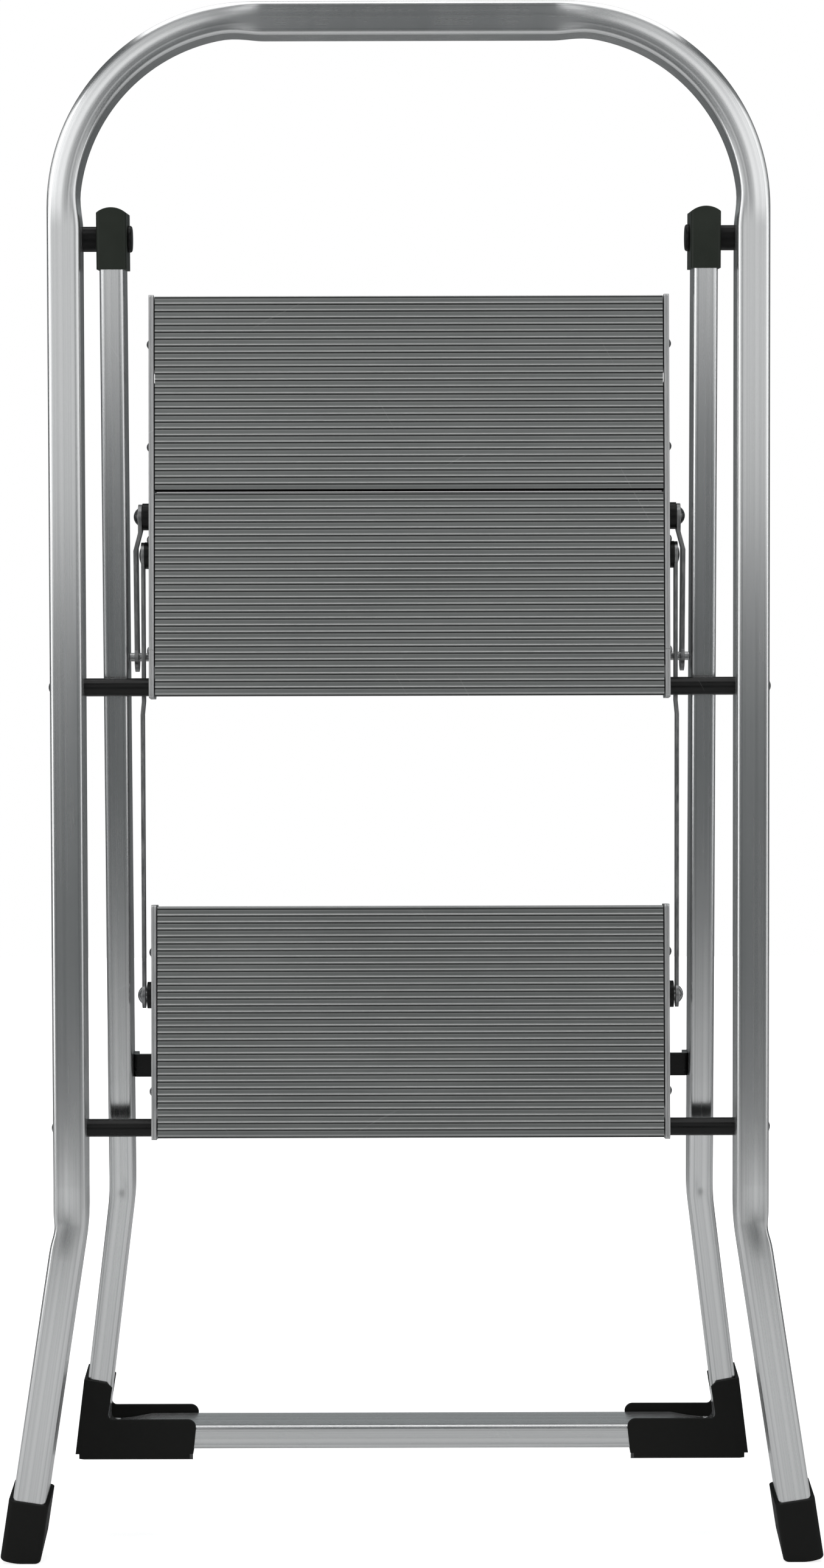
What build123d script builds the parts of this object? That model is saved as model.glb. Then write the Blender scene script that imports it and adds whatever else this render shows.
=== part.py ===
"""Folding two-step aluminium stool with a handle bow, modelled folded and standing upright.

Millimetres. +Z is up, the treads face -Y, and the origin is the middle of the folded stool's footprint on the floor.
A tread is modelled flat, as it lies when the stool is open: Y runs from its rod to its rear edge, and Z is up from
the rod's centre. It is then turned up into the folded frame.
"""
from build123d import *
from math import acos, atan2, cos, degrees, hypot, radians, sin, tan
import os

# Front frame: one bent tube, two rods, two boots
frame_height = 944.7
frame_width = 435.0
front_tube_width = 20.0
tube_depth = 30.0
tube_wall = 1.5
tube_corner = 2.5
bow_radius = 113.0
front_splay_height = 207.7
front_splay = 8.7
splay_bend_radius = 150.0
upper_rod_height = 533.7
lower_rod_height = 264.7
rod_radius = 5.5
boot_wall = 2.3
boot_front_height = 37.7
boot_rim_slope = 10.0
boot_flat_width = 11.0
boot_floor = 10.7
boot_corner = 3.2
boot_seat = 0.2
rod_drill_depth = 18.0
rod_rivet_grip = 16.0

# Main pivots, behind the middle of the front legs
pivot_below_top = 139.4
pivot_radius = 4.0
pivot_spacer_length = 8.95
pivot_spacer_radius = 7.6
pivot_head_radius = 8.1
pivot_head_thickness = 2.4
pivot_head_round = 1.44
axle_end_recess = 0.3

# Rear frame: one bent tube with a crossbar, hung on the main pivots
rear_tube_width = 15.0
rear_lean = 3.0
rear_lower_lean = 5.0
rear_bend_height = 273.1
mitre_allowance = 4.0
rear_splay_height = 219.3
rear_splay = 7.2
crossbar_height = 65.9
corner_radius = 13.0
cap_wall = 1.6
cap_above_pivot = 18.4
cap_below_pivot = 18.7
cap_arch = 3.3
cap_corner = 2.0
tube_above_pivot = 12.5
brace_centre_height = 299.0
brace_height = 14.0
brace_thickness = 3.0
brace_tab_length = 10.0
brace_bend = 2.4
brace_rivet_setback = 3.5
brace_rivet_grip = 13.0

# Corner feet on the crossbar
foot_wall = 2.2
foot_arm_height = 48.0
foot_arm_slant = 2.8
foot_arm_length = 73.5
foot_panel_height = 21.8
foot_chamfer = 3.0
foot_inner_fillet = 3.0
foot_tip_radius = 5.0
foot_sole_thickness = 3.0
foot_sole_inset = 2.3

# Treads
open_lean = 23.85
tread_lean = 4.0
link_space = 13.95
side_plate_thickness = 3.0
side_plate_above = 10.9
side_plate_below = 17.0
side_plate_low_corner = 8.0
side_plate_high_corner = 2.0
side_plate_beyond = 1.0
side_mark_width = 0.7
side_mark_depth = 0.5
platform_mark = 21.8
platform_mark_width = 0.6
platform_mark_depth = 0.6
side_gap = 0.8
tread_top = 10.5
tread_plate = 2.6
tread_wall = 1.8
tread_box_below = 8.0
front_overhang = 6.0
front_nose = 18.0
rear_nose = 1.5
nose_lip = 1.4
front_board_length = 123.5
rear_board_length = 118.6
step_board_length = 141.0
board_seam = 0.6
rib_pitch = 4.2
rib_height = 0.6
rib_width = 1.7
rib_root = 0.3
web_corner = 0.8
port_radius = 4.2
rivet_inset = 28.0
board_rivet_grip = 14.0

# Links beside the treads
spacer_radius = 8.2
link_rivet_radius = 3.0
support_pivot_below = 6.0
support_pin_height = 551.7
support_spacer_length = 4.8
support_link_thickness = 2.3
support_joggle = 3.0
support_joggle_start = 9.0
support_joggle_end = 20.0
support_top_radius = 7.5
support_end_radius = 9.0
pin_radius = 2.6
pin_reach_under = 2.6
step_arm = 80.7
step_pivot_below = 7.0
step_spacer_length = 3.4
step_link_thickness = 2.0
step_link_width = 11.4
step_link_eye_radius = 8.0
step_joggle = 0.8
step_joggle_start = 89.0
step_joggle_end = 97.0
notch_before_pin = 2.4
notch_behind_pin = 0.5
notch_above_pin = 0.3

# Rivet heads
rod_rivet_radius = 4.2
rod_rivet_height = 1.9
board_rivet_radius = 3.1
board_rivet_height = 1.9
link_head_radius = 5.2
link_head_height = 2.8
hidden_head_height = 1.2
shank_radius = 2.0

# Clearances
running_clearance = 0.08
side_clearance = 0.2
open_gap = 0.35
seat_clearance = 0.1
rod_gap = 2.75
pin_fit = 0.02

pivot_height = frame_height - pivot_below_top
pivot_setback = tube_depth / 2 + rod_radius + rod_gap - (pivot_height - upper_rod_height) * tan(radians(rear_lean))
rear_bend_drop = (pivot_height - rear_bend_height) / cos(radians(rear_lean))
rear_splay_drop = rear_bend_drop + (rear_bend_height - rear_splay_height) / cos(radians(rear_lower_lean))
crossbar_drop = rear_bend_drop + (rear_bend_height - crossbar_height) / cos(radians(rear_lower_lean))
brace_drop = (pivot_height - brace_centre_height) / cos(radians(rear_lean))

leg_inner = frame_width / 2 - front_tube_width
leg_centre = frame_width / 2 - front_tube_width / 2
rear_outer = leg_inner - pivot_spacer_length - side_clearance - cap_wall
rear_width = 2 * rear_outer
rear_inner = rear_outer - rear_tube_width
rear_centre = rear_outer - rear_tube_width / 2
side_outer = rear_inner - link_space
side_inner = side_outer - side_plate_thickness
board_half = side_inner - side_gap
brace_half = rear_inner - seat_clearance


# ---------------------------------------------------------------- the fold

def turned(point, angle):
    """A (y, z) vector turned about +X by an angle in radians."""
    y, z = point
    return (y * cos(angle) - z * sin(angle), y * sin(angle) + z * cos(angle))


def along_tread(rod_height, reach, below):
    """Where a point of a folded tread is, as (y, z), from its reach behind the rod and its depth below it."""
    y, z = turned((reach, -below), radians(90 - tread_lean))
    return (y, rod_height + z)


def toward_tread(point, angle):
    """Where a (y, z) point of the front frame is on the platform, as its reach and height, at the platform's angle."""
    return turned((point[0], point[1] - upper_rod_height), -angle)


# The rear frame and the treads turn until the feet are on the floor and the treads are level.
boot_half_depth = tube_depth / 2 + boot_wall
rear_bend = turned((0, -rear_bend_drop), radians(rear_lean))
sole_drop = crossbar_drop - rear_bend_drop + rear_tube_width / 2 + foot_wall + foot_sole_thickness
rear_sole_offset = turned((-tube_depth / 2 - foot_wall, -sole_drop), radians(rear_lower_lean))
rear_sole = (rear_bend[0] + rear_sole_offset[0], rear_bend[1] + rear_sole_offset[1])
pivot_above_floor = (
    pivot_height * cos(radians(open_lean)) - (pivot_setback + boot_half_depth) * sin(radians(open_lean))
)
rear_turn = (
    radians(open_lean) + acos(pivot_above_floor / hypot(*rear_sole)) - atan2(rear_sole[0], -rear_sole[1])
)
tread_turn = radians(90 - tread_lean - open_lean)
rear_floor_angle = rear_turn - radians(open_lean) + radians(rear_lower_lean)

# The support pin is in line with the rear leg, and its link hangs from the point of the platform that is as far from
# the pin when the stool is folded as when it is open.
pin_from_pivot = (
    (pivot_height - support_pin_height) * tan(radians(rear_lean)),
    support_pin_height - pivot_height,
)
support_pin = (pivot_setback + pin_from_pivot[0], support_pin_height)
pin_from_pivot_open = turned(pin_from_pivot, rear_turn)
support_pin_open = (pivot_setback + pin_from_pivot_open[0], pivot_height + pin_from_pivot_open[1])
pin_folded_on_tread = toward_tread(support_pin, radians(90 - tread_lean))
pin_open_on_tread = toward_tread(support_pin_open, radians(90 - tread_lean) - tread_turn)
span = (pin_open_on_tread[0] - pin_folded_on_tread[0], pin_open_on_tread[1] - pin_folded_on_tread[1])
middle = (
    (pin_open_on_tread[0] + pin_folded_on_tread[0]) / 2,
    (pin_open_on_tread[1] + pin_folded_on_tread[1]) / 2,
)
support_arm = middle[0] + (middle[1] + support_pivot_below) * span[1] / span[0]

support_pivot = along_tread(upper_rod_height, support_arm, support_pivot_below)
step_link_top = along_tread(upper_rod_height, step_arm, step_pivot_below)
step_link_bottom = along_tread(lower_rod_height, step_arm, step_pivot_below)
support_link_length = hypot(support_pin[0] - support_pivot[0], support_pin[1] - support_pivot[1])
support_link_tilt = atan2(support_pin[0] - support_pivot[0], support_pivot[1] - support_pin[1])
link_angle_open = atan2(
    pin_open_on_tread[0] - support_arm, -pin_open_on_tread[1] - support_pivot_below
) + radians(90 - tread_lean)
support_link_turn = link_angle_open - support_link_tilt


# ---------------------------------------------------------------- helpers

def box(x0, x1, y0, y1, z0, z1):
    """A box between two corners."""
    return Pos((x0 + x1) / 2, (y0 + y1) / 2, (z0 + z1) / 2) * Box(x1 - x0, y1 - y0, z1 - z0)


def rod_x(x0, x1, y, z, radius):
    """A round bar along X."""
    return Pos((x0 + x1) / 2, y, z) * Rot(0, 90, 0) * Cylinder(radius, x1 - x0)


def rivet_x(x_in, x_flat, y, z, shank, head, height):
    """A rivet along X: a shank of one radius from x_in, and a domed head of another from x_flat outwards."""
    dome = (head**2 + height**2) / (2 * height)
    centre = x_flat + height - dome
    half_angle = atan2(head, x_flat - centre) / 2
    with BuildSketch() as profile:
        with BuildLine():
            Polyline((x_flat + height, 0), (x_in, 0), (x_in, shank), (x_flat, shank), (x_flat, head))
            crown = (centre + dome * cos(half_angle), dome * sin(half_angle))
            ThreePointArc((x_flat, head), crown, (x_flat + height, 0))
        make_face()
    return Pos(0, y, z) * revolve(profile.sketch, Axis.X)


def group(shapes):
    """Separate solids as one shape."""
    return Compound([solid for shape in shapes for solid in shape.solids()])


def left_of(shape):
    """The mirror image of a right-hand piece."""
    return mirror(shape, about=Plane.YZ)


def tube_along(path, width, wall=tube_wall):
    """A hollow rectangular tube swept along a planar path, its depth square to the path's plane."""
    section = Plane(path @ 0, x_dir=(0, 1, 0), z_dir=path % 0)
    outer = RectangleRounded(tube_depth, width, tube_corner)
    inner = RectangleRounded(tube_depth - 2 * wall, width - 2 * wall, tube_corner - wall)
    return sweep(section * outer, path=path) - sweep(section * inner, path=path)


def folded_tread(rod_height):
    """The place of a tread that was modelled flat, in the folded stool."""
    return Pos(0, 0, rod_height) * Rot(90 - tread_lean, 0, 0)


def rear_place():
    """The place of a piece modelled on an upright upper rear leg, with the main pivot at its origin."""
    return Pos(0, pivot_setback, pivot_height) * Rot(rear_lean, 0, 0)


def lower_place():
    """The place of a piece modelled on the upright lower part of the rear frame, with the bend at its origin."""
    return Pos(0, pivot_setback + rear_bend[0], pivot_height + rear_bend[1]) * Rot(rear_lower_lean, 0, 0)


# ---------------------------------------------------------------- front frame

def front_leg_foot(height):
    """The X of the front leg's centre line at a height below the splay bend."""
    return leg_centre + (front_splay_height - height) * tan(radians(front_splay))


def front_tube():
    """The bow and both legs, with holes for the rods' rivets and the main pivots."""
    end = boot_floor
    top = frame_height - front_tube_width / 2
    corners = [
        (front_leg_foot(end), 0, end),
        (leg_centre, 0, front_splay_height),
        (leg_centre, 0, top),
        (-leg_centre, 0, top),
        (-leg_centre, 0, front_splay_height),
        (-front_leg_foot(end), 0, end),
    ]
    radii = [splay_bend_radius, bow_radius, bow_radius, splay_bend_radius]
    tube = tube_along(FilletPolyline(*corners, radius=radii), front_tube_width)
    for height in (upper_rod_height, lower_rod_height):
        tube -= rod_x(-frame_width, frame_width, 0, height, shank_radius + seat_clearance)
    tube -= rod_x(-frame_width, frame_width, pivot_setback, pivot_height, pivot_radius + seat_clearance)
    return tube


def step_rod(height):
    """A rod between the front legs, drilled at each end for its rivet."""
    rod = rod_x(-leg_inner, leg_inner, 0, height, rod_radius)
    for end in (-1, 1):
        x0, x1 = sorted((end * (leg_inner - rod_drill_depth), end * leg_inner))
        rod -= rod_x(x0, x1, 0, height, shank_radius + seat_clearance)
    return rod


def rod_rivets():
    """The four rivets that pass through the front legs into the rods."""
    rivets = []
    for height in (upper_rod_height, lower_rod_height):
        rivet = rivet_x(
            leg_inner - rod_rivet_grip, frame_width / 2, 0, height, shank_radius, rod_rivet_radius, rod_rivet_height
        )
        rivets += [rivet, left_of(rivet)]
    return group(rivets)


def front_boot():
    """The right boot: a socket on the splayed leg with a sole that is flat on the floor when the stool is open."""
    width = front_tube_width + 2 * boot_wall
    reach = 60.0
    outer = extrude(RectangleRounded(width, 2 * boot_half_depth, boot_corner), amount=reach)
    rim = Pos(0, 0, boot_front_height + reach / 2 + boot_half_depth * tan(radians(boot_rim_slope)))
    rim = rim * Rot(boot_rim_slope, 0, 0) * Box(3 * reach, 3 * reach, reach)
    place = Pos(front_leg_foot(0), 0, 0) * Rot(0, -front_splay, 0)
    boot = place * (Pos(0, 0, -10) * outer - rim)
    inner_x = front_leg_foot(0) - width / 2 / cos(radians(front_splay))
    outer_x = inner_x + width / cos(radians(front_splay)) + 2
    rise = (width - boot_flat_width) * sin(radians(front_splay)) + 2.0
    with BuildSketch(Plane.XZ.offset(boot_half_depth)) as profile:
        with BuildLine():
            Line((inner_x - 20, 0), (inner_x + boot_flat_width, 0))
            TangentArc((inner_x + boot_flat_width, 0), (outer_x, rise), tangent=(1, 0))
            Line((outer_x, rise), (outer_x + 20, reach + 40))
            Line((outer_x + 20, reach + 40), (inner_x - 20, reach + 40))
            Line((inner_x - 20, reach + 40), (inner_x - 20, 0))
        make_face()
    back = 2 * boot_half_depth
    lean = radians(open_lean)
    keep = extrude(profile.sketch, amount=back / cos(lean) + reach, dir=(0, cos(lean), sin(lean)))
    boot = boot & keep
    socket = RectangleRounded(
        front_tube_width + 2 * seat_clearance, tube_depth + 2 * seat_clearance, tube_corner
    )
    floor = (boot_floor - boot_seat) / cos(radians(front_splay))
    return boot - place * Pos(0, 0, floor) * extrude(socket, amount=reach + 20)


def pivot_spacer():
    """The sleeve between a front leg and the rear leg's cap."""
    sleeve = rod_x(rear_outer + cap_wall + side_clearance, leg_inner, pivot_setback, pivot_height, pivot_spacer_radius)
    return sleeve - rod_x(0, frame_width, pivot_setback, pivot_height, pivot_radius + seat_clearance)


def pivot_axle():
    """The axle through the front leg, the sleeve and the cap, with a flat head on the inner side."""
    head_x = rear_inner - cap_wall - side_clearance
    axle = rod_x(head_x - 1, frame_width / 2 - axle_end_recess, pivot_setback, pivot_height, pivot_radius)
    head = rod_x(head_x - pivot_head_thickness, head_x, pivot_setback, pivot_height, pivot_head_radius)
    rim = head.edges().group_by(Axis.X)[0]
    return fillet(rim, pivot_head_round) + axle


# ---------------------------------------------------------------- rear frame

def rear_leg(side):
    """An upper rear leg, from inside its cap down to the bend, where it is cut to meet the lower part."""
    low = -rear_bend_drop - mitre_allowance
    line = Line((side * rear_centre, 0, tube_above_pivot), (side * rear_centre, 0, low))
    leg = tube_along(Wire([line]), rear_tube_width)
    leg -= rod_x(-rear_width, rear_width, 0, 0, pivot_radius + running_clearance)
    leg -= rod_x(-rear_width, rear_width, brace_rivet_setback, -brace_drop, shank_radius + seat_clearance)
    half_bend = (rear_lower_lean - rear_lean) / 2
    waste = box(-rear_width, rear_width, -tube_depth, tube_depth, -tube_depth, 0)
    return rear_place() * (leg - Pos(0, 0, -rear_bend_drop) * Rot(half_bend, 0, 0) * waste)


def rear_u():
    """The lower part of the rear frame: both splayed legs and the crossbar, in one plane."""
    bend = rear_splay_drop - rear_bend_drop
    bottom = crossbar_drop - rear_bend_drop
    foot = rear_centre + (bottom - bend) * tan(radians(rear_splay))
    corners = [
        (rear_centre, 0, mitre_allowance),
        (rear_centre, 0, -bend),
        (foot, 0, -bottom),
        (-foot, 0, -bottom),
        (-rear_centre, 0, -bend),
        (-rear_centre, 0, mitre_allowance),
    ]
    radii = [splay_bend_radius, corner_radius, corner_radius, splay_bend_radius]
    frame = tube_along(FilletPolyline(*corners, radius=radii), rear_tube_width)
    half_bend = (rear_lower_lean - rear_lean) / 2
    waste = box(-rear_width, rear_width, -tube_depth, tube_depth, 0, tube_depth)
    return lower_place() * (frame - Rot(-half_bend, 0, 0) * waste)


def rear_tube():
    """The whole rear tube."""
    return rear_u() + rear_leg(1) + rear_leg(-1)


def pivot_cap():
    """The moulded cap on top of the right rear leg, which turns on the axle."""
    half_width = rear_tube_width / 2 + cap_wall
    half_depth = tube_depth / 2 + cap_wall
    shoulder = cap_above_pivot - cap_arch
    with BuildSketch(Plane.XZ) as front:
        with BuildLine():
            Polyline(
                (-half_width, shoulder), (-half_width, -cap_below_pivot),
                (half_width, -cap_below_pivot), (half_width, shoulder),
            )
            ThreePointArc((-half_width, shoulder), (0, cap_above_pivot), (half_width, shoulder))
        make_face()
    cap = extrude(front.sketch, amount=half_depth, both=True)
    cap = fillet(cap.edges().filter_by(Axis.Z), cap_corner)
    cavity = RectangleRounded(
        rear_tube_width + 2 * seat_clearance, tube_depth + 2 * seat_clearance, tube_corner
    )
    cap -= Pos(0, 0, -cap_below_pivot - 1) * extrude(cavity, amount=cap_below_pivot + tube_above_pivot + 1.1)
    cap = Pos(rear_centre, 0, 0) * cap
    cap -= rod_x(0, rear_width, 0, 0, pivot_radius + running_clearance)
    return rear_place() * cap


def rear_brace():
    """The flat bar between the rear legs, with a tab bent back at each end and riveted to the leg."""
    low, high = -brace_drop - brace_height / 2, -brace_drop + brace_height / 2
    bar = box(-brace_half, brace_half, -brace_thickness, 0, low, high)
    for side in (-1, 1):
        x0, x1 = sorted((side * (brace_half - brace_thickness), side * brace_half))
        bar += box(x0, x1, -brace_thickness, brace_tab_length, low, high)
    bends = bar.edges().filter_by(Axis.Z).sort_by(Axis.Y)[:2]
    bar = fillet(bends, brace_bend)
    hole = rod_x(-rear_width, rear_width, brace_rivet_setback, -brace_drop, shank_radius + seat_clearance)
    return rear_place() * (bar - hole)


def brace_rivets():
    """The two rivets that hold the brace's tabs to the rear legs."""
    rivet = rivet_x(
        -rear_inner - brace_rivet_grip, -brace_half + brace_thickness, brace_rivet_setback, -brace_drop,
        shank_radius, board_rivet_radius, board_rivet_height,
    )
    return rear_place() * group([rivet, left_of(rivet)])


# ---------------------------------------------------------------- corner feet

def corner_foot():
    """The right corner foot: a channel round the tube's corner, with a sole flat on the floor when open."""
    bend = rear_splay_drop - rear_bend_drop
    bottom = crossbar_drop - rear_bend_drop
    foot_x = rear_centre + (bottom - bend) * tan(radians(rear_splay))
    lean_out = tan(radians(rear_splay))
    half_tube = rear_tube_width / 2
    half_depth = tube_depth / 2 + seat_clearance + foot_wall
    base = -bottom - half_tube - foot_wall
    side_x = foot_x + half_tube / cos(radians(rear_splay)) + seat_clearance + foot_wall

    def edge_x(z, inset=0.0):
        return side_x - (z + bottom) * lean_out - inset

    arm_width = rear_tube_width + seat_clearance + foot_wall
    top = base + foot_arm_height
    end = edge_x(base) - foot_arm_length
    panel_top = base + foot_panel_height
    arm_top = top - foot_arm_slant
    inner_corner = (edge_x(panel_top) - arm_width, panel_top)
    tip = (end - foot_sole_inset, panel_top)
    outline = [
        (edge_x(base), base), (edge_x(top), top), (edge_x(top) - arm_width + foot_chamfer, arm_top),
        (edge_x(top) - arm_width, arm_top - foot_chamfer), inner_corner, tip, (end, base),
    ]
    body = extrude(Plane.XZ * make_face(Polyline(*outline, close=True)), amount=half_depth, both=True)
    for (x, z), radius in ((inner_corner, foot_inner_fillet), (tip, foot_tip_radius)):
        body = fillet(body.edges().filter_by(Axis.Y).sort_by_distance((x, 0, z))[:1], radius)
    cavity_outline = [
        (edge_x(base + foot_wall, foot_wall), base + foot_wall), (edge_x(top + 5, foot_wall), top + 5),
        (end - 30, top + 5), (end - 30, base + foot_wall),
    ]
    cavity = make_face(Polyline(*cavity_outline, close=True))
    cavity = extrude(Plane.XZ * cavity, amount=tube_depth / 2 + seat_clearance, both=True)
    sole_front = base - foot_sole_thickness
    sole_back = sole_front - 2 * half_depth * tan(rear_floor_angle)
    sole_outline = [
        (-half_depth, base + 1), (half_depth, base + 1), (half_depth, sole_back), (-half_depth, sole_front),
    ]
    sole = extrude(Plane.YZ * make_face(Polyline(*sole_outline, close=True)), amount=rear_width, both=True)
    sole &= box(end + foot_sole_inset, edge_x(base) - foot_sole_inset, -half_depth, half_depth, base - 40, base + 1)
    return lower_place() * (body - cavity + sole)


# ---------------------------------------------------------------- treads

def rivet_places(start, length):
    """Where a board's two end rivets are along the tread."""
    return (start + rivet_inset, start + length - rivet_inset)


def board(start, length, nose):
    """An extruded board: a ribbed plate over a hollow box with two webs, each with a rivet port."""
    box_start = start + nose
    end = start + length
    bottom = -tread_box_below
    plate_bottom = tread_top - tread_plate
    ports = rivet_places(start, length)
    half_web = tread_wall / 2
    with BuildSketch(Plane.YZ) as profile:
        with BuildLine():
            Polyline(
                (start, tread_top - 1.2), (start, plate_bottom - nose_lip),
                (start + nose_lip, plate_bottom - nose_lip), (start + nose_lip + 0.4, plate_bottom),
                (box_start, plate_bottom), (box_start, bottom), (end, bottom),
                (end, tread_top - 0.4), (end - 0.4, tread_top), (start + 1.2, tread_top), close=True,
            )
        make_face()
        walls = [box_start + tread_wall, ports[0] - half_web, ports[0] + half_web]
        walls += [ports[1] - half_web, ports[1] + half_web, end - tread_wall]
        for low, high in zip(walls[0::2], walls[1::2]):
            with Locations(((low + high) / 2, (bottom + tread_wall + plate_bottom) / 2)):
                RectangleRounded(high - low, plate_bottom - bottom - tread_wall, web_corner, mode=Mode.SUBTRACT)
        for port in ports:
            with Locations((port, 0)):
                Circle(port_radius)
                Circle(shank_radius + seat_clearance, mode=Mode.SUBTRACT)
        rib_count = int((length - 2 * rib_pitch) / rib_pitch) + 1
        first = start + (length - (rib_count - 1) * rib_pitch) / 2
        for index in range(rib_count):
            centre = first + index * rib_pitch
            with BuildLine():
                ThreePointArc(
                    (centre - rib_width / 2, tread_top), (centre, tread_top + rib_height),
                    (centre + rib_width / 2, tread_top),
                )
                Polyline(
                    (centre + rib_width / 2, tread_top), (centre + rib_width / 2, tread_top - rib_root),
                    (centre - rib_width / 2, tread_top - rib_root), (centre - rib_width / 2, tread_top),
                )
            make_face()
    return extrude(profile.sketch, amount=board_half, both=True)


def side_plate(length, rivets, link_points, saddle=None, cut_line=None):
    """The right side plate of a tread, drilled for its rod, its rivets and its link pivots."""
    start = -front_overhang - side_plate_beyond
    plate = box(side_inner, side_outer, start, start + length, -side_plate_below, side_plate_above)
    corners = plate.edges().filter_by(Axis.X)
    plate = fillet(corners.group_by(Axis.Z)[0], side_plate_low_corner)
    plate = fillet(plate.edges().filter_by(Axis.X).group_by(Axis.Z)[-1], side_plate_high_corner)
    plate -= rod_x(0, side_outer + 1, 0, 0, rod_radius + running_clearance)
    for reach in rivets:
        plate -= rod_x(0, side_outer + 1, reach, 0, shank_radius + seat_clearance)
    for reach, below in link_points:
        plate -= rod_x(0, side_outer + 1, reach, -below, link_rivet_radius + seat_clearance)
    half_mark = side_mark_width / 2
    mark_x = (side_inner + side_outer) / 2
    mark_floor = side_plate_above - side_mark_depth
    plate -= box(mark_x - half_mark, mark_x + half_mark, start - 1, start + length + 1, mark_floor, 20)
    if cut_line is not None:
        half_cut = platform_mark_width / 2
        cut_floor = side_plate_above - platform_mark_depth
        plate -= box(0, side_outer + 1, cut_line - half_cut, cut_line + half_cut, cut_floor, 20)
    if saddle is not None:
        reach, height = saddle
        slot_low = reach - pin_radius - notch_before_pin
        slot_high = reach + pin_radius + notch_behind_pin
        slot_top = height + pin_radius + notch_above_pin
        plate -= box(0, side_outer + 1, slot_low, slot_high, -side_plate_below - 1, slot_top)
    return plate


def board_rivets(places):
    """Rivets through both side plates into the boards' ports."""
    rivets = []
    for reach in places:
        rivet = rivet_x(
            side_inner - board_rivet_grip, side_outer, reach, 0, shank_radius, board_rivet_radius, board_rivet_height
        )
        rivets += [rivet, left_of(rivet)]
    return group(rivets)


def link_spacer(reach, below, length):
    """The black sleeve between a side plate and a link."""
    sleeve = rod_x(side_outer, side_outer + length, reach, -below, spacer_radius)
    return sleeve - rod_x(0, side_outer + 20, reach, -below, link_rivet_radius + seat_clearance)


def link_rivet(reach, below, spacer_length, thickness, head_height=link_head_height):
    """The rivet that a link turns on: flush inside the side plate and domed outside the link."""
    link_out = side_outer + spacer_length + thickness + 2 * side_clearance
    return rivet_x(side_inner, link_out, reach, -below, link_rivet_radius, link_head_radius, head_height)


# ---------------------------------------------------------------- links

def joggled_strip(length, thickness, joggle_start, joggle_end, offset):
    """A wide flat strip hanging along -Z whose plane steps outwards by offset between two depths."""
    overrun = 20.0
    half_breadth = 30.0
    points = [
        (0, overrun), (0, -joggle_start), (offset, -joggle_end), (offset, -length - overrun),
        (offset + thickness, -length - overrun), (offset + thickness, -joggle_end),
        (thickness, -joggle_start), (thickness, overrun),
    ]
    return extrude(Plane.XZ * make_face(Polyline(*points, close=True)), amount=half_breadth, both=True)


def outline_strip(length, top_radius, end_radius, waist):
    """A link's outline seen from the side, as a solid across X: an eye at each end and a waist between."""
    with BuildSketch(Plane.YZ) as outline:
        Circle(top_radius)
        with Locations((0, -length)):
            Circle(end_radius)
        with Locations((0, -length / 2)):
            Rectangle(waist, length)
    return extrude(outline.sketch, amount=40, both=True)


def support_link():
    """The right support link, hung from the platform."""
    start_x = side_outer + support_spacer_length + side_clearance
    strip = joggled_strip(
        support_link_length, support_link_thickness, support_joggle_start, support_joggle_end, support_joggle
    )
    strip &= outline_strip(support_link_length, support_top_radius, support_end_radius, 2 * support_top_radius)
    strip -= rod_x(-50, 50, 0, 0, link_rivet_radius + running_clearance)
    strip -= rod_x(-50, 50, 0, -support_link_length, pin_radius + pin_fit)
    return Pos(start_x, *support_pivot) * Rot(degrees(support_link_tilt), 0, 0) * strip


def support_pin_piece():
    """The pin at the support link's free end, which the open platform's side plate sits on."""
    outer = rear_inner - open_gap
    inner = side_outer - pin_reach_under
    return rod_x(inner, outer, support_pin[0], support_pin[1], pin_radius)


def step_link():
    """The right step link, which hangs the step from the platform and keeps them parallel."""
    length = upper_rod_height - lower_rod_height
    start_x = side_outer + step_spacer_length + side_clearance
    strip = joggled_strip(length, step_link_thickness, step_joggle_start, step_joggle_end, step_joggle)
    strip &= outline_strip(length, step_link_eye_radius, step_link_eye_radius, step_link_width)
    for z in (0, -length):
        strip -= rod_x(-50, 50, 0, z, link_rivet_radius + running_clearance)
    return Pos(start_x, *step_link_top) * strip


# ---------------------------------------------------------------- the stool

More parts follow.
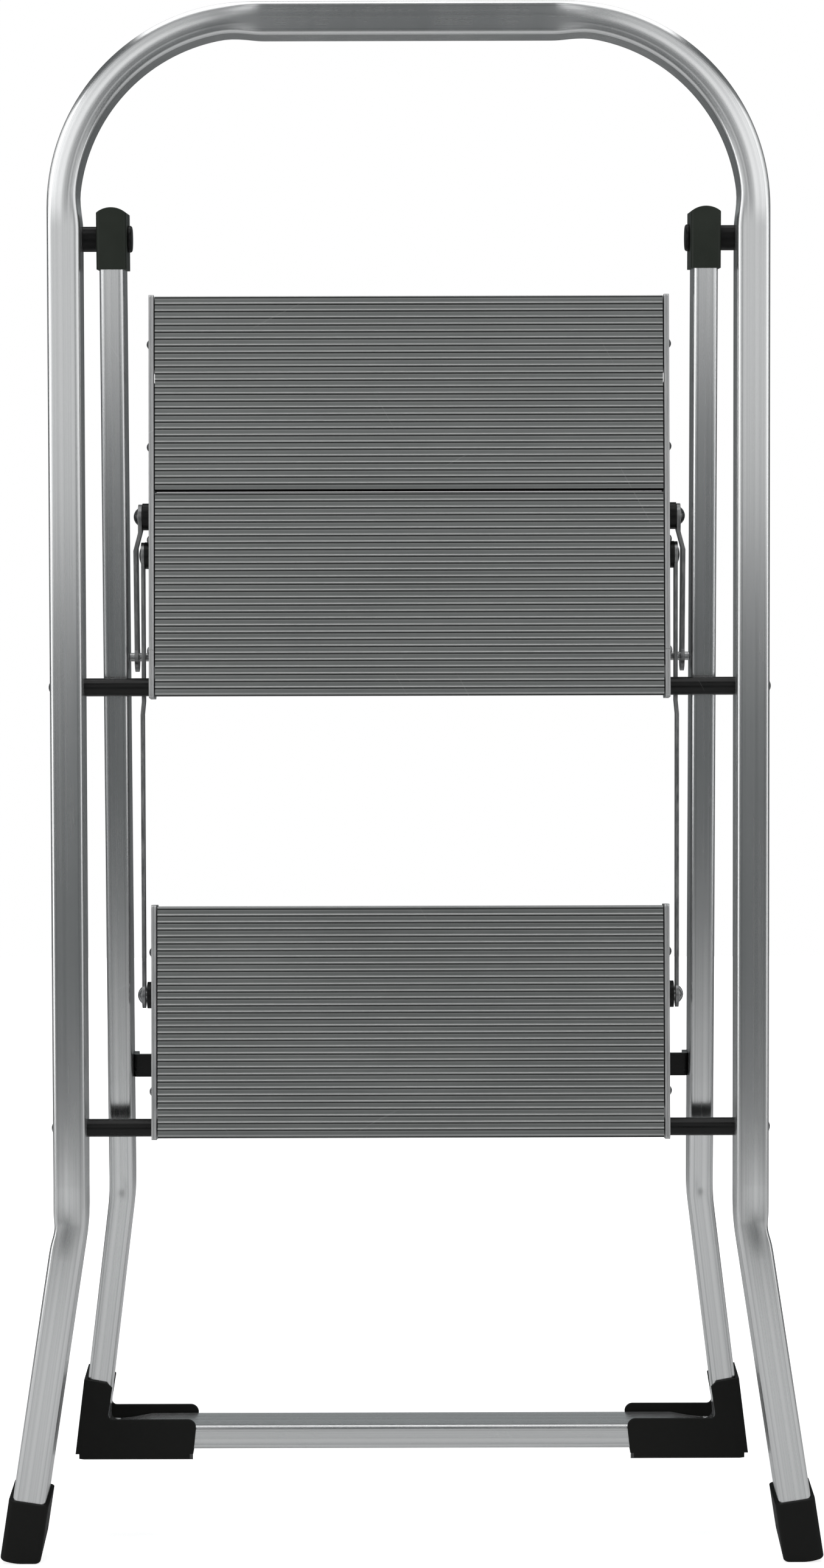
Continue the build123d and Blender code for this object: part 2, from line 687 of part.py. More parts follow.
def build():
    """Every piece by name, placed in the folded stool."""
    rear_start = -front_overhang + front_board_length + board_seam
    platform_rivets = (
        *rivet_places(-front_overhang, front_board_length),
        *rivet_places(rear_start, rear_board_length),
    )
    step_rivets = rivet_places(-front_overhang, step_board_length)
    platform_length = front_board_length + board_seam + rear_board_length + 2 * side_plate_beyond
    links = [(support_arm, support_pivot_below), (step_arm, step_pivot_below)]
    platform = folded_tread(upper_rod_height)
    step = folded_tread(lower_rod_height)
    platform_side = platform * side_plate(platform_length, platform_rivets, links, pin_open_on_tread, platform_mark)
    step_side = step * side_plate(step_board_length + 2 * side_plate_beyond, step_rivets, links[1:])

    pieces = {
        "front_tube": front_tube(),
        "upper_rod": step_rod(upper_rod_height),
        "lower_rod": step_rod(lower_rod_height),
        "rod_rivets": rod_rivets(),
        "rear_tube": rear_tube(),
        "rear_brace": rear_brace(),
        "brace_rivets": brace_rivets(),
        "platform_front_board": platform * board(-front_overhang, front_board_length, front_nose),
        "platform_rear_board": platform * board(rear_start, rear_board_length, rear_nose),
        "platform_rivets": platform * board_rivets(platform_rivets),
        "step_board": step * board(-front_overhang, step_board_length, front_nose),
        "step_rivets": step * board_rivets(step_rivets),
    }
    right_pieces = {
        "front_boot": front_boot(),
        "pivot_spacer": pivot_spacer(),
        "pivot_axle": pivot_axle(),
        "pivot_cap": pivot_cap(),
        "corner_foot": corner_foot(),
        "platform_side": platform_side,
        "step_side": step_side,
        "support_spacer": platform * link_spacer(support_arm, support_pivot_below, support_spacer_length),
        "support_rivet": platform * link_rivet(
            support_arm, support_pivot_below, support_spacer_length, support_link_thickness
        ),
        "step_link_top_spacer": platform * link_spacer(step_arm, step_pivot_below, step_spacer_length),
        "step_link_top_rivet": platform * link_rivet(
            step_arm, step_pivot_below, step_spacer_length, step_link_thickness, hidden_head_height
        ),
        "step_link_bottom_spacer": step * link_spacer(step_arm, step_pivot_below, step_spacer_length),
        "step_link_bottom_rivet": step * link_rivet(
            step_arm, step_pivot_below, step_spacer_length + step_joggle, step_link_thickness
        ),
        "support_link": support_link(),
        "support_pin": support_pin_piece(),
        "step_link": step_link(),
    }
    for name, piece in right_pieces.items():
        pieces[f"{name}_right"] = piece
        pieces[f"{name}_left"] = left_of(piece)
    return pieces


def main():
    """Centres the footprint on the origin, writes one STEP file per piece, and prints the fold's numbers."""
    pieces = build()
    bounds = group(pieces.values()).bounding_box()
    shift = Pos(0, -(bounds.min.Y + bounds.max.Y) / 2, -bounds.min.Z)
    os.makedirs("parts", exist_ok=True)
    for name, piece in pieces.items():
        export_step(shift * piece, f"parts/{name}.step")
    offset = shift.position
    print(f"shift {offset.Y:.4f} {offset.Z:.4f}")
    print(f"support arm {support_arm:.4f}")
    print(f"rear turn {degrees(rear_turn):.4f}, tread turn {degrees(tread_turn):.4f}")
    print(f"support link turn {degrees(support_link_turn):.4f}")
    for label, point in (
        ("main pivot", (pivot_setback, pivot_height)), ("upper rod", (0, upper_rod_height)),
        ("lower rod", (0, lower_rod_height)), ("support pivot", support_pivot),
        ("support pin", support_pin), ("step link top", step_link_top), ("step link bottom", step_link_bottom),
    ):
        print(f"{label} {point[0] + offset.Y:.4f} {point[1] + offset.Z:.4f}")


if __name__ == "__main__":
    main()
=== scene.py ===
"""Looks of the folded two-step stool, laid out as an add-on and run as a script.

Metres, +Z up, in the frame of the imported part. The treads face -Y.
"""
import math

import bpy
from mathutils import Matrix, Vector


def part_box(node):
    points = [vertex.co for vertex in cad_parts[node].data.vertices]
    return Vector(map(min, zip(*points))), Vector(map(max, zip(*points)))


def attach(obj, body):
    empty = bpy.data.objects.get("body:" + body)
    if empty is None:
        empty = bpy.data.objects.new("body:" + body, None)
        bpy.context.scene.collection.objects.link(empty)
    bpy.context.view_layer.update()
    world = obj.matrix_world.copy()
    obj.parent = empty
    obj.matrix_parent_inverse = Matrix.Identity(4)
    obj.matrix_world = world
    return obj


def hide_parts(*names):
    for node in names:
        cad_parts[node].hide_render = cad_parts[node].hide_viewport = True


bl_info = {
    "name": "Folding Stool Looks",
    "version": (1, 0, 0),
    "blender": (4, 5, 0),
    "location": "3D Viewport > Sidebar > Stool",
    "description": "Builds the bent tubes, finishes and stage of a folding two-step stool",
    "category": "Object",
}

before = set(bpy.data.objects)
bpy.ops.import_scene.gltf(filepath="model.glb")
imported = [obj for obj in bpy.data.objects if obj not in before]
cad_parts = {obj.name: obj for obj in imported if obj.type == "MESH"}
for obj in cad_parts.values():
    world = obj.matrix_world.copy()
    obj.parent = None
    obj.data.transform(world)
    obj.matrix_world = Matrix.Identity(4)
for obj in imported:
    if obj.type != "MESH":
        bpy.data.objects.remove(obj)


# ---------------------------------------------------------------- properties

def length(name, description, default):
    """A length property in metres."""
    return bpy.props.FloatProperty(
        name=name, description=description, default=default, unit="LENGTH", precision=5
    )


def turn(name, description, default):
    """An angle property, given in degrees."""
    return bpy.props.FloatProperty(
        name=name, description=description, default=math.radians(default), subtype="ANGLE", unit="ROTATION"
    )


def count(name, description, default):
    """A whole number property."""
    return bpy.props.IntProperty(name=name, description=description, default=default, min=1)


def amount(name, description, default):
    """A plain number property, never below zero."""
    return bpy.props.FloatProperty(name=name, description=description, default=default, min=0.0)


class StoolTubeSettings(bpy.types.PropertyGroup):
    """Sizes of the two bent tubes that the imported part's boxes don't give."""

    corner: length("Corner radius", "Outer corner radius of both tubes", 0.0025)
    corner_segments: count("Corner segments", "Facets round one tube corner", 4)
    flat_cuts: count("Flat cuts", "Cuts across each flat side of a tube", 11)
    fine_pitch: length("Fine pitch", "Distance between rings near a bend", 0.0015)
    coarse_pitch: length("Coarse pitch", "Distance between rings on a long straight", 0.02)
    front_width: length("Front tube width", "Width of the front tube across its face", 0.020)
    bow_radius: length("Bow radius", "Centre-line radius of the two handle bends", 0.113)
    bow_steps: count("Bow steps", "Rings round one handle bend", 40)
    bow_lead: length("Bow lead", "Length with fine rings below a handle bend", 0.03)
    bow_tail: length("Bow tail", "Length with fine rings on the grip beside a handle bend", 0.008)
    splay_radius: length("Splay radius", "Centre-line radius of the bends above the feet", 0.150)
    splay_steps: count("Splay steps", "Rings round one bend above a foot", 16)
    front_lead: length("Front lead", "Length with fine rings beside a front splay bend", 0.012)
    rear_lead: length("Rear lead", "Length with fine rings beside a rear splay bend", 0.014)
    front_splay: turn("Front splay", "Outward turn of the front legs below their bends", 8.7)
    front_splay_height: length("Front splay height", "Height of the front legs' bends", 0.2077)
    rear_width: length("Rear tube width", "Width of the rear tube across its face", 0.015)
    rear_splay: turn("Rear splay", "Outward turn of the rear legs below their bends", 7.2)
    rear_splay_height: length("Rear splay height", "Height of the rear legs' bends", 0.2193)
    rear_corner: length("Rear corner radius", "Centre-line radius of the crossbar's corners", 0.013)
    rear_corner_steps: count("Rear corner steps", "Rings round one corner of the crossbar", 24)
    rear_top_gap: length("Rear top gap", "How far the rear legs end below the packed tube's top", 0.0008)
    rear_lean: turn("Rear lean", "Lean of the upper rear legs", 3.0)
    rear_lower_lean: turn("Lower lean", "Lean of the rear frame below its bend", 5.0)
    rear_bend_height: length("Rear bend height", "Height of the rear frame's lengthwise bend", 0.2731)
    crossbar_height: length("Crossbar height", "Height of the crossbar's centre line", 0.0659)
    pinch: length("Pinch", "How far the inner wall of a handle bend is pressed outwards", 0.0022)
    pinch_line: length("Pinch line", "Distance of the pressed line from the centre line, inwards", 0.0024)
    pinch_fall: length("Pinch fall", "How far the face falls back beyond the pressed line", 0.0009)
    ridge: length("Ridge", "Half width of the small ridge along the pressed line", 0.0013)
    pinch_run: length("Pinch run", "Length over which the pressed shape fades in", 0.026)
    crown: length("Crown", "How far the face of a handle bend falls back at its outer edge", 0.0017)
    front_dent: length("Front dent", "Depth of the dent in a front splay bend's face", 0.0011)
    front_dent_rise: length("Front dent rise", "Height of that dent above its bend", 0.006)
    front_dent_length: length("Front dent length", "Half length of that dent", 0.019)
    front_dent_out: length("Front dent out", "How far that dent is outside the centre line", 0.0015)
    front_dent_width: length("Front dent width", "Half width of that dent", 0.0056)
    front_dent_reach: length("Front dent reach", "Where the dent and the crease have died out", 0.06)
    front_crease: length("Front crease", "Depth of the crease in a front splay bend's outer side", 0.0012)
    front_crease_drop: length("Front crease drop", "Distance of the crease below its bend", 0.004)
    front_crease_length: length("Front crease length", "Half length of the crease", 0.007)
    rear_dent: length("Rear dent", "Depth of the dent in a rear splay bend's face", 0.0008)
    rear_dent_rise: length("Rear dent rise", "Height of that dent above its bend", 0.007)
    rear_dent_length: length("Rear dent length", "Half length of that dent", 0.0065)
    rear_dent_out: length("Rear dent out", "How far that dent is outside the centre line", -0.0004)
    rear_dent_width: length("Rear dent width", "Half width of that dent", 0.0034)
    rear_dent_reach: length("Rear dent reach", "Where that dent has died out", 0.03)
    corner_sink: length("Corner sink", "How far the crossbar's top wall is crushed at its corners", 0.0042)
    sink_length: length("Sink length", "How far the crushed wall reaches along the crossbar", 0.030)
    sink_edge: length("Sink edge", "Distance over which the crushed wall fades out", 0.004)
    sink_height: length("Sink height", "How far up the leg the crushed wall reaches", 0.02)
    tread_lean: turn("Tread lean", "Lean of the folded treads", 4.0)
    rib_pitch: length("Rib pitch", "Distance between the boards' ribs", 0.0042)
    front_board_rib: length("Front board rib", "Place of the front board's first rib past its rod", -0.00095)
    rear_board_rib: length("Rear board rib", "Place of the rear board's first rib past its rod", 0.1228)
    seam: length("Seam", "Place of the joint between the platform's boards past its rod", 0.1182)
    step_board_rib: length("Step board rib", "Place of the step's first rib past its rod", -0.0006)


class StoolStageSettings(bpy.types.PropertyGroup):
    """Camera, lights and floor."""

    camera_x: length("Camera X", "Sideways place of the camera", 0.0015)
    camera_y: length("Camera Y", "How far the camera is in front", -2.2960)
    camera_z: length("Camera Z", "Height of the camera", 0.5766)
    pitch: turn("Pitch", "How far the camera looks down", 2.58)
    roll: turn("Roll", "Clockwise roll of the camera", 0.15)
    lens: amount("Lens", "Focal length in millimetres", 85.67)
    floor_front: length("Floor front", "How far the floor reaches in front", 2.0)
    floor_half: length("Floor half size", "How far the floor reaches behind and to the sides", 4.0)
    floor_drop: length("Floor drop", "How far the floor is below the feet", 0.0005)
    room: amount("Room", "Brightness of the unlit room", 0.105)
    back_glow: amount("Back glow", "Extra light low behind the stool", 0.30)
    panel_x: length("Panel X", "Sideways place of the panels beside the camera", 1.45)
    panel_y: length("Panel Y", "How far the panels are in front", -2.7)
    panel_low: length("Panel low", "Height of the panels' lower edges", 0.63)
    panel_slant: length("Panel slant", "Extra height of the right panel, taken off the left one", 0.03)
    panel_width: length("Panel width", "Width of a panel", 2.1)
    panel_height: length("Panel height", "Height of a panel", 1.94)
    panel_power: amount("Panel power", "Power of a panel in watts", 11.3)
    side_x: length("Side X", "Sideways place of the boxes at the sides", 1.95)
    side_y: length("Side Y", "How far the side boxes are in front", -1.3)
    side_z: length("Side Z", "Height of the side boxes", 1.0)
    side_aim: length("Side aim", "Height on the stool that the side boxes face", 0.7)
    side_width: length("Side width", "Width of a side box", 1.2)
    side_height: length("Side height", "Height of a side box", 2.2)
    side_power: amount("Side power", "Mean power of the side boxes in watts", 11.5)
    side_power_step: amount("Side power step", "Watts moved from the right side box to the left", 3.0)
    top_y: length("Top Y", "How far the box above is in front", -0.2)
    top_z: length("Top Z", "Height of the box above", 2.6)
    top_size: length("Top size", "Width and depth of the box above", 2.4)
    top_power: amount("Top power", "Power of the box above in watts", 27.0)


# ---------------------------------------------------------------- mesh helpers

# largest gap closed between the two halves of a tube, and between doubled points
HALVES_GAP = 0.0002
DOUBLES_GAP = 0.00002


def edit(obj, mode="VERT"):
    """Makes obj the only selected object and enters edit mode."""
    make_active(obj)
    edit_again(mode)


def edit_again(mode):
    """Enters edit mode on the active object with its selection kept."""
    bpy.ops.object.mode_set(mode="EDIT")
    bpy.ops.mesh.select_mode(type=mode)


def object_mode():
    """Leaves edit mode where it is on."""
    if bpy.context.mode != "OBJECT":
        bpy.ops.object.mode_set(mode="OBJECT")


def make_active(obj):
    """Makes obj the only selected object, in object mode."""
    object_mode()
    bpy.ops.object.select_all(action="DESELECT")
    obj.select_set(True)
    bpy.context.view_layer.objects.active = obj


def choose(obj, test, mode="VERT"):
    """In edit mode, selects the vertices that pass a test of their place, and the edges between them."""
    edit(obj, mode)
    bpy.ops.mesh.select_all(action="DESELECT")
    object_mode()
    for vertex in obj.data.vertices:
        vertex.select = test(vertex.co)
    for edge in obj.data.edges:
        edge.select = all(obj.data.vertices[i].select for i in edge.vertices)
    edit_again(mode)


def tube_ring(name, centre, width, depth, tubes):
    """A new object holding one level ring of a tube, left in edit mode with the ring selected."""
    object_mode()
    bpy.ops.object.select_all(action="DESELECT")
    bpy.ops.mesh.primitive_plane_add(size=1, location=(0, 0, 0))
    obj = bpy.context.object
    obj.name = name
    obj.data.name = name
    edit(obj)
    bpy.ops.mesh.select_all(action="SELECT")
    bpy.ops.transform.resize(value=(width, depth, 1), center_override=(0, 0, 0))
    bpy.ops.mesh.bevel(offset=tubes.corner, segments=tubes.corner_segments, affect="VERTICES")
    bpy.ops.mesh.delete(type="ONLY_FACE")
    object_mode()
    for edge in obj.data.edges:
        a, b = (obj.data.vertices[i].co for i in edge.vertices)
        edge.select = (a - b).length > 2 * tubes.corner
    for vertex in obj.data.vertices:
        vertex.select = False
    edit_again("EDGE")
    bpy.ops.mesh.subdivide(number_cuts=tubes.flat_cuts)
    bpy.ops.mesh.select_mode(type="VERT")
    bpy.ops.mesh.select_all(action="SELECT")
    bpy.ops.transform.translate(value=centre)
    return obj


def run(direction, distance, pitch):
    """Extrudes the selected ring straight on in steps of about one pitch."""
    steps = max(1, round(distance / pitch))
    move = Vector(direction).normalized() * (distance / steps)
    for _ in range(steps):
        bpy.ops.mesh.extrude_edges_move(TRANSFORM_OT_translate={"value": move})


def bend(centre, angle, steps):
    """Spins the selected ring about +Y, turning +X towards +Z."""
    bpy.ops.mesh.spin(steps=steps, angle=angle, center=centre, axis=(0, 1, 0))


def mirror_half(obj):
    """Adds the other half, closes the ends and turns every face outwards."""
    object_mode()
    modifier = obj.modifiers.new("Mirror", "MIRROR")
    modifier.use_clip = True
    modifier.merge_threshold = HALVES_GAP
    bpy.ops.object.modifier_apply(modifier=modifier.name)
    edit(obj)
    bpy.ops.mesh.select_all(action="SELECT")
    bpy.ops.mesh.remove_doubles(threshold=DOUBLES_GAP)
    bpy.ops.mesh.fill_holes(sides=0)
    bpy.ops.mesh.select_all(action="SELECT")
    bpy.ops.mesh.normals_make_consistent(inside=False)
    object_mode()


def smooth(obj, angle=40):
    """Shades obj smooth, except over edges sharper than an angle in degrees."""
    make_active(obj)
    bpy.ops.object.shade_smooth_by_angle(angle=math.radians(angle))


def fade(value, low, high):
    """0 at low, 1 at high, and smooth between."""
    share = min(1.0, max(0.0, (value - low) / (high - low)))
    return share * share * (3 - 2 * share)


def bump(value, centre, spread):
    """A bell that is 1 at its centre."""
    return math.exp(-(((value - centre) / spread) ** 2))


def point_values(obj, name, values):
    """Stores one number for each vertex."""
    layer = obj.data.attributes.new(name, "FLOAT", "POINT")
    layer.data.foreach_set("value", values)


def point_vectors(obj, name, vectors):
    """Stores one vector for each vertex."""
    layer = obj.data.attributes.new(name, "FLOAT_VECTOR", "POINT")
    layer.data.foreach_set("vector", [part for vector in vectors for part in vector])


# ---------------------------------------------------------------- tubes

# share of a tube's half depth beyond which a vertex counts as on its face
ON_FACE = 0.9
# shares of the half depth between which the pressed shape of a bow's face fades in
FACE_FADE = (0.75, 0.98)
# height of the ridge along the pressed line, as a share of the face's fall
RIDGE_SHARE = 0.3
# how the crown steepens towards the outer edge
CROWN_POWER = 1.8


def front_places(tubes):
    """The front tube's centre lines and bend starts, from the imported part."""
    low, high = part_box("front_tube")
    rod_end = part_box("upper_rod")[1].x
    leg_x = rod_end + tubes.front_width / 2
    return {
        "y": (low.y + high.y) / 2,
        "depth": high.y - low.y,
        "foot_z": low.z,
        "leg_x": leg_x,
        "top_z": high.z - tubes.front_width / 2,
        "bow_x": leg_x - tubes.bow_radius,
        "bow_z": high.z - tubes.front_width / 2 - tubes.bow_radius,
        "splay_start": tubes.front_splay_height + tubes.splay_radius * math.tan(tubes.front_splay / 2),
    }


def bow_coordinates(point, place, tubes):
    """How far a point of the front tube is outside its centre line, and its share in a handle bend."""
    x = abs(point.x)
    over_x = x - place["bow_x"]
    over_z = point.z - place["bow_z"]
    share = min(
        fade(over_x, -0.3 * tubes.pinch_run, 0.7 * tubes.pinch_run),
        fade(over_z, -0.5 * tubes.pinch_run, 0.5 * tubes.pinch_run),
    )
    if over_x > 0 and over_z > 0:
        return math.hypot(over_x, over_z) - tubes.bow_radius, share
    if over_x <= 0:
        return point.z - place["top_z"], share
    splayed = max(0.0, tubes.front_splay_height - point.z) * math.tan(tubes.front_splay)
    return x - place["leg_x"] - splayed, share


def front_lengthwise(point, place, tubes):
    """The direction of the front tube's centre line at a point."""
    over = Vector((abs(point.x) - place["bow_x"], 0, point.z - place["bow_z"]))
    if over.x > 0 and over.z > 0:
        along = Vector((-over.z, 0, over.x)).normalized()
    elif over.x <= 0:
        along = Vector((-1, 0, 0))
    elif point.z > tubes.front_splay_height:
        along = Vector((0, 0, 1))
    else:
        along = Vector((-math.sin(tubes.front_splay), 0, math.cos(tubes.front_splay)))
    along.x = math.copysign(1, point.x) * along.x
    return along


def press_bow(obj, place, tubes):
    """Presses the inner wall of both handle bends outwards and stores where each vertex lies."""
    half_depth = place["depth"] / 2
    across = []
    pressed = []
    point_values(obj, "through", [vertex.co.y - place["y"] for vertex in obj.data.vertices])
    point_vectors(obj, "along", [front_lengthwise(vertex.co, place, tubes) for vertex in obj.data.vertices])
    for vertex in obj.data.vertices:
        outward, share = bow_coordinates(vertex.co, place, tubes)
        across.append(outward)
        pressed.append(share)
        if share <= 0:
            continue
        reach = tubes.front_width / 2 - tubes.pinch_line
        inward = min(1.0, max(0.0, -outward - tubes.pinch_line) / reach)
        over_x = abs(vertex.co.x) - place["bow_x"]
        over_z = vertex.co.z - place["bow_z"]
        away = Vector((max(0.0, over_x), 0, max(0.0, over_z))).normalized()
        away.x = math.copysign(away.x, vertex.co.x)
        vertex.co += away * (share * tubes.pinch * inward)
        side = (vertex.co.y - place["y"]) / half_depth
        rise = min(1.0, max(0.0, outward + tubes.pinch_line / 2) / (tubes.front_width / 2))
        ridge = RIDGE_SHARE * bump(outward, -tubes.pinch_line, tubes.ridge)
        fall = tubes.pinch_fall * (inward + ridge) + tubes.crown * rise**CROWN_POWER
        vertex.co.y -= math.copysign(1, side) * share * fall * fade(abs(side), *FACE_FADE)
    point_values(obj, "across", across)
    point_values(obj, "rim", [tubes.front_width / 2 - abs(value) for value in across])
    point_values(obj, "pressed", pressed)


def dent_front(obj, place, tubes):
    """Presses a long dent into the face of each front splay bend and a crease into its outer side."""
    half_width = tubes.front_width / 2
    height = tubes.front_splay_height
    for vertex in obj.data.vertices:
        if abs(vertex.co.z - height) > tubes.front_dent_reach:
            continue
        splayed = max(0.0, height - vertex.co.z) * math.tan(tubes.front_splay)
        outward = abs(vertex.co.x) - place["leg_x"] - splayed
        front = place["y"] - vertex.co.y
        if abs(front) > ON_FACE * place["depth"] / 2:
            lengthwise = bump(vertex.co.z, height + tubes.front_dent_rise, tubes.front_dent_length)
            sideways = bump(outward, tubes.front_dent_out, tubes.front_dent_width)
            vertex.co.y += math.copysign(tubes.front_dent * lengthwise * sideways, front)
        lengthwise = bump(vertex.co.z, height - tubes.front_crease_drop, tubes.front_crease_length)
        crease = tubes.front_crease * lengthwise * fade(outward, 0.5 * half_width, half_width)
        vertex.co.x -= math.copysign(crease, vertex.co.x)


def build_front_tube(tubes):
    """The handle bow and both front legs as one closed tube."""
    place = front_places(tubes)
    fine = tubes.fine_pitch
    coarse = tubes.coarse_pitch
    start = Vector((place["leg_x"], place["y"], place["bow_z"] - tubes.bow_lead))
    obj = tube_ring("front_tube_shaped", start, tubes.front_width, place["depth"], tubes)
    run((0, 0, 1), tubes.bow_lead, fine)
    bend((place["bow_x"], place["y"], place["bow_z"]), math.pi / 2, tubes.bow_steps)
    run((-1, 0, 0), tubes.bow_tail, fine)
    run((-1, 0, 0), place["bow_x"] - tubes.bow_tail, coarse)
    choose(obj, lambda co: abs(co.z - start.z) < fine / 4 and co.x > place["leg_x"] - tubes.front_width)
    run((0, 0, -1), start.z - place["splay_start"] - tubes.front_lead, coarse)
    run((0, 0, -1), tubes.front_lead, fine)
    splay_centre = (place["leg_x"] + tubes.splay_radius, place["y"], place["splay_start"])
    bend(splay_centre, tubes.front_splay, tubes.splay_steps)
    down = Vector((math.sin(tubes.front_splay), 0, -math.cos(tubes.front_splay)))
    half_arc = tubes.splay_radius * math.tan(tubes.front_splay / 2)
    leg_run = (tubes.front_splay_height - place["foot_z"]) / math.cos(tubes.front_splay) - half_arc
    run(down, tubes.front_lead, fine)
    run(down, leg_run - tubes.front_lead, coarse)
    mirror_half(obj)
    press_bow(obj, place, tubes)
    dent_front(obj, place, tubes)
    smooth(obj)
    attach(obj, "front_frame")
    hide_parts("front_tube")
    paint(obj, tube_metal())
    return obj


def rear_places(tubes):
    """The rear tube's pivot, centre lines and bends, upright below its pivot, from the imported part."""
    cap_low, cap_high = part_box("pivot_cap_right")
    axle_low, axle_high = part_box("pivot_axle_right")
    front_low, front_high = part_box("front_tube")
    pivot = Vector((0, (axle_low.y + axle_high.y) / 2, (axle_low.z + axle_high.z) / 2))
    bend_drop = (pivot.z - tubes.rear_bend_height) / math.cos(tubes.rear_lean)
    stretch = 1 / math.cos(tubes.rear_lower_lean)
    splay_drop = bend_drop + (tubes.rear_bend_height - tubes.rear_splay_height) * stretch
    bar_drop = bend_drop + (tubes.rear_bend_height - tubes.crossbar_height) * stretch
    cap_x = (cap_low.x + cap_high.x) / 2
    return {
        "pivot": pivot,
        "x": cap_x,
        "foot_x": cap_x + (bar_drop - splay_drop) * math.tan(tubes.rear_splay),
        "top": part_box("rear_tube")[1].z - pivot.z - tubes.rear_top_gap,
        "bend_drop": bend_drop,
        "splay_drop": splay_drop,
        "bar_drop": bar_drop,
        "depth": front_high.y - front_low.y,
    }


def lean_back(obj, place, tubes):
    """Turns the upright rear tube about its pivot, and a little more below its lengthwise bend."""
    more = Matrix.Rotation(tubes.rear_lower_lean - tubes.rear_lean, 3, "X")
    whole = Matrix.Rotation(tubes.rear_lean, 3, "X")
    knee = Vector((0, 0, -place["bend_drop"]))
    for vertex in obj.data.vertices:
        if vertex.co.z < knee.z:
            vertex.co = more @ (vertex.co - knee) + knee
        vertex.co = whole @ vertex.co + place["pivot"]


def dent_rear(obj, place, tubes):
    """Presses a small dent into the face of each rear splay bend."""
    for vertex in obj.data.vertices:
        above = vertex.co.z + place["splay_drop"]
        if abs(above) > tubes.rear_dent_reach or abs(vertex.co.y) < ON_FACE * place["depth"] / 2:
            continue
        outward = abs(vertex.co.x) - place["x"]
        lengthwise = bump(above, tubes.rear_dent_rise, tubes.rear_dent_length)
        sideways = bump(outward, tubes.rear_dent_out, tubes.rear_dent_width)
        vertex.co.y -= math.copysign(tubes.rear_dent * lengthwise * sideways, vertex.co.y)


def crush_corners(obj, place, tubes):
    """Sinks the inner wall of the rear tube where the crossbar turns up into the legs."""
    edge = tubes.sink_edge
    inner_x = place["foot_x"] - tubes.rear_width / 2
    wall_z = tubes.rear_width / 2 - place["bar_drop"]
    for vertex in obj.data.vertices:
        above = vertex.co.z - (wall_z - edge)
        share = fade(abs(vertex.co.x), inner_x - tubes.sink_length, inner_x - edge) * fade(above, 0.0, edge)
        if above < tubes.sink_height and abs(vertex.co.x) < inner_x + edge:
            vertex.co.z -= tubes.corner_sink * share


def across_rear(obj, place, tubes):
    """Stores where each vertex of the rear tube is across its centre line, and that line's direction."""
    values = []
    lengthwise = []
    whole = Matrix.Rotation(tubes.rear_lean, 3, "X")
    splay_half = 0.01
    for vertex in obj.data.vertices:
        x = abs(vertex.co.x)
        below_bar_top = vertex.co.z < tubes.rear_width - place["bar_drop"]
        on_bar = below_bar_top and x < place["foot_x"] - tubes.rear_corner
        splay = tubes.rear_splay * fade(-vertex.co.z - place["splay_drop"], -splay_half, splay_half)
        splayed = max(0.0, -place["splay_drop"] - vertex.co.z) * math.tan(tubes.rear_splay)
        values.append(-vertex.co.z - place["bar_drop"] if on_bar else x - place["x"] - splayed)
        down_leg = Vector((-math.copysign(math.sin(splay), vertex.co.x), 0, math.cos(splay)))
        lengthwise.append(Vector((1, 0, 0)) if on_bar else whole @ down_leg)
    point_values(obj, "across", values)
    point_values(obj, "rim", [tubes.rear_width / 2 - abs(value) for value in values])
    point_values(obj, "through", [vertex.co.y for vertex in obj.data.vertices])
    point_values(obj, "pressed", [0.0] * len(values))
    point_vectors(obj, "along", lengthwise)


def build_rear_tube(tubes):
    """Both rear legs and the crossbar as one closed tube."""
    place = rear_places(tubes)
    fine = tubes.fine_pitch
    coarse = tubes.coarse_pitch
    lead = tubes.rear_lead
    start = Vector((place["x"], 0, place["top"]))
    obj = tube_ring("rear_tube_shaped", start, tubes.rear_width, place["depth"], tubes)
    half_arc = tubes.splay_radius * math.tan(tubes.rear_splay / 2)
    run((0, 0, -1), place["top"] + place["bend_drop"], coarse)
    run((0, 0, -1), place["splay_drop"] - place["bend_drop"] - half_arc - lead, coarse / 2)
    run((0, 0, -1), lead, fine)
    splay_centre = (place["x"] + tubes.splay_radius, 0, half_arc - place["splay_drop"])
    bend(splay_centre, tubes.rear_splay, tubes.splay_steps)
    down = Vector((math.sin(tubes.rear_splay), 0, -math.cos(tubes.rear_splay)))
    run(down, lead, fine)
    corner_turn = math.pi / 2 + tubes.rear_splay
    leg_run = (place["bar_drop"] - place["splay_drop"]) / math.cos(tubes.rear_splay)
    corner_run = tubes.rear_corner * math.tan(corner_turn / 2)
    run(down, leg_run - half_arc - lead - corner_run, 0.75 * coarse)
    corner_x = place["foot_x"] - corner_run
    bend((corner_x, 0, tubes.rear_corner - place["bar_drop"]), -corner_turn, tubes.rear_corner_steps)
    run((-1, 0, 0), corner_x, coarse)
    mirror_half(obj)
    across_rear(obj, place, tubes)
    crush_corners(obj, place, tubes)
    dent_rear(obj, place, tubes)
    lean_back(obj, place, tubes)
    smooth(obj)
    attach(obj, "rear_frame")
    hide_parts("rear_tube")
    paint(obj, tube_metal())
    return obj


# ---------------------------------------------------------------- node helpers

def add(tree, kind, inputs=None, **settings):
    """A new node with its settings, and its inputs set to a value or linked from a socket."""
    made = tree.nodes.new(kind)
    for name, value in settings.items():
        setattr(made, name, value)
    for key, value in (inputs or {}).items():
        if isinstance(value, bpy.types.NodeSocket):
            tree.links.new(value, made.inputs[key])
        else:
            made.inputs[key].default_value = value
    return made


def calculate(tree, operation, a, b=0.0):
    """The result of a math node."""
    return add(tree, "ShaderNodeMath", {0: a, 1: b}, operation=operation).outputs[0]


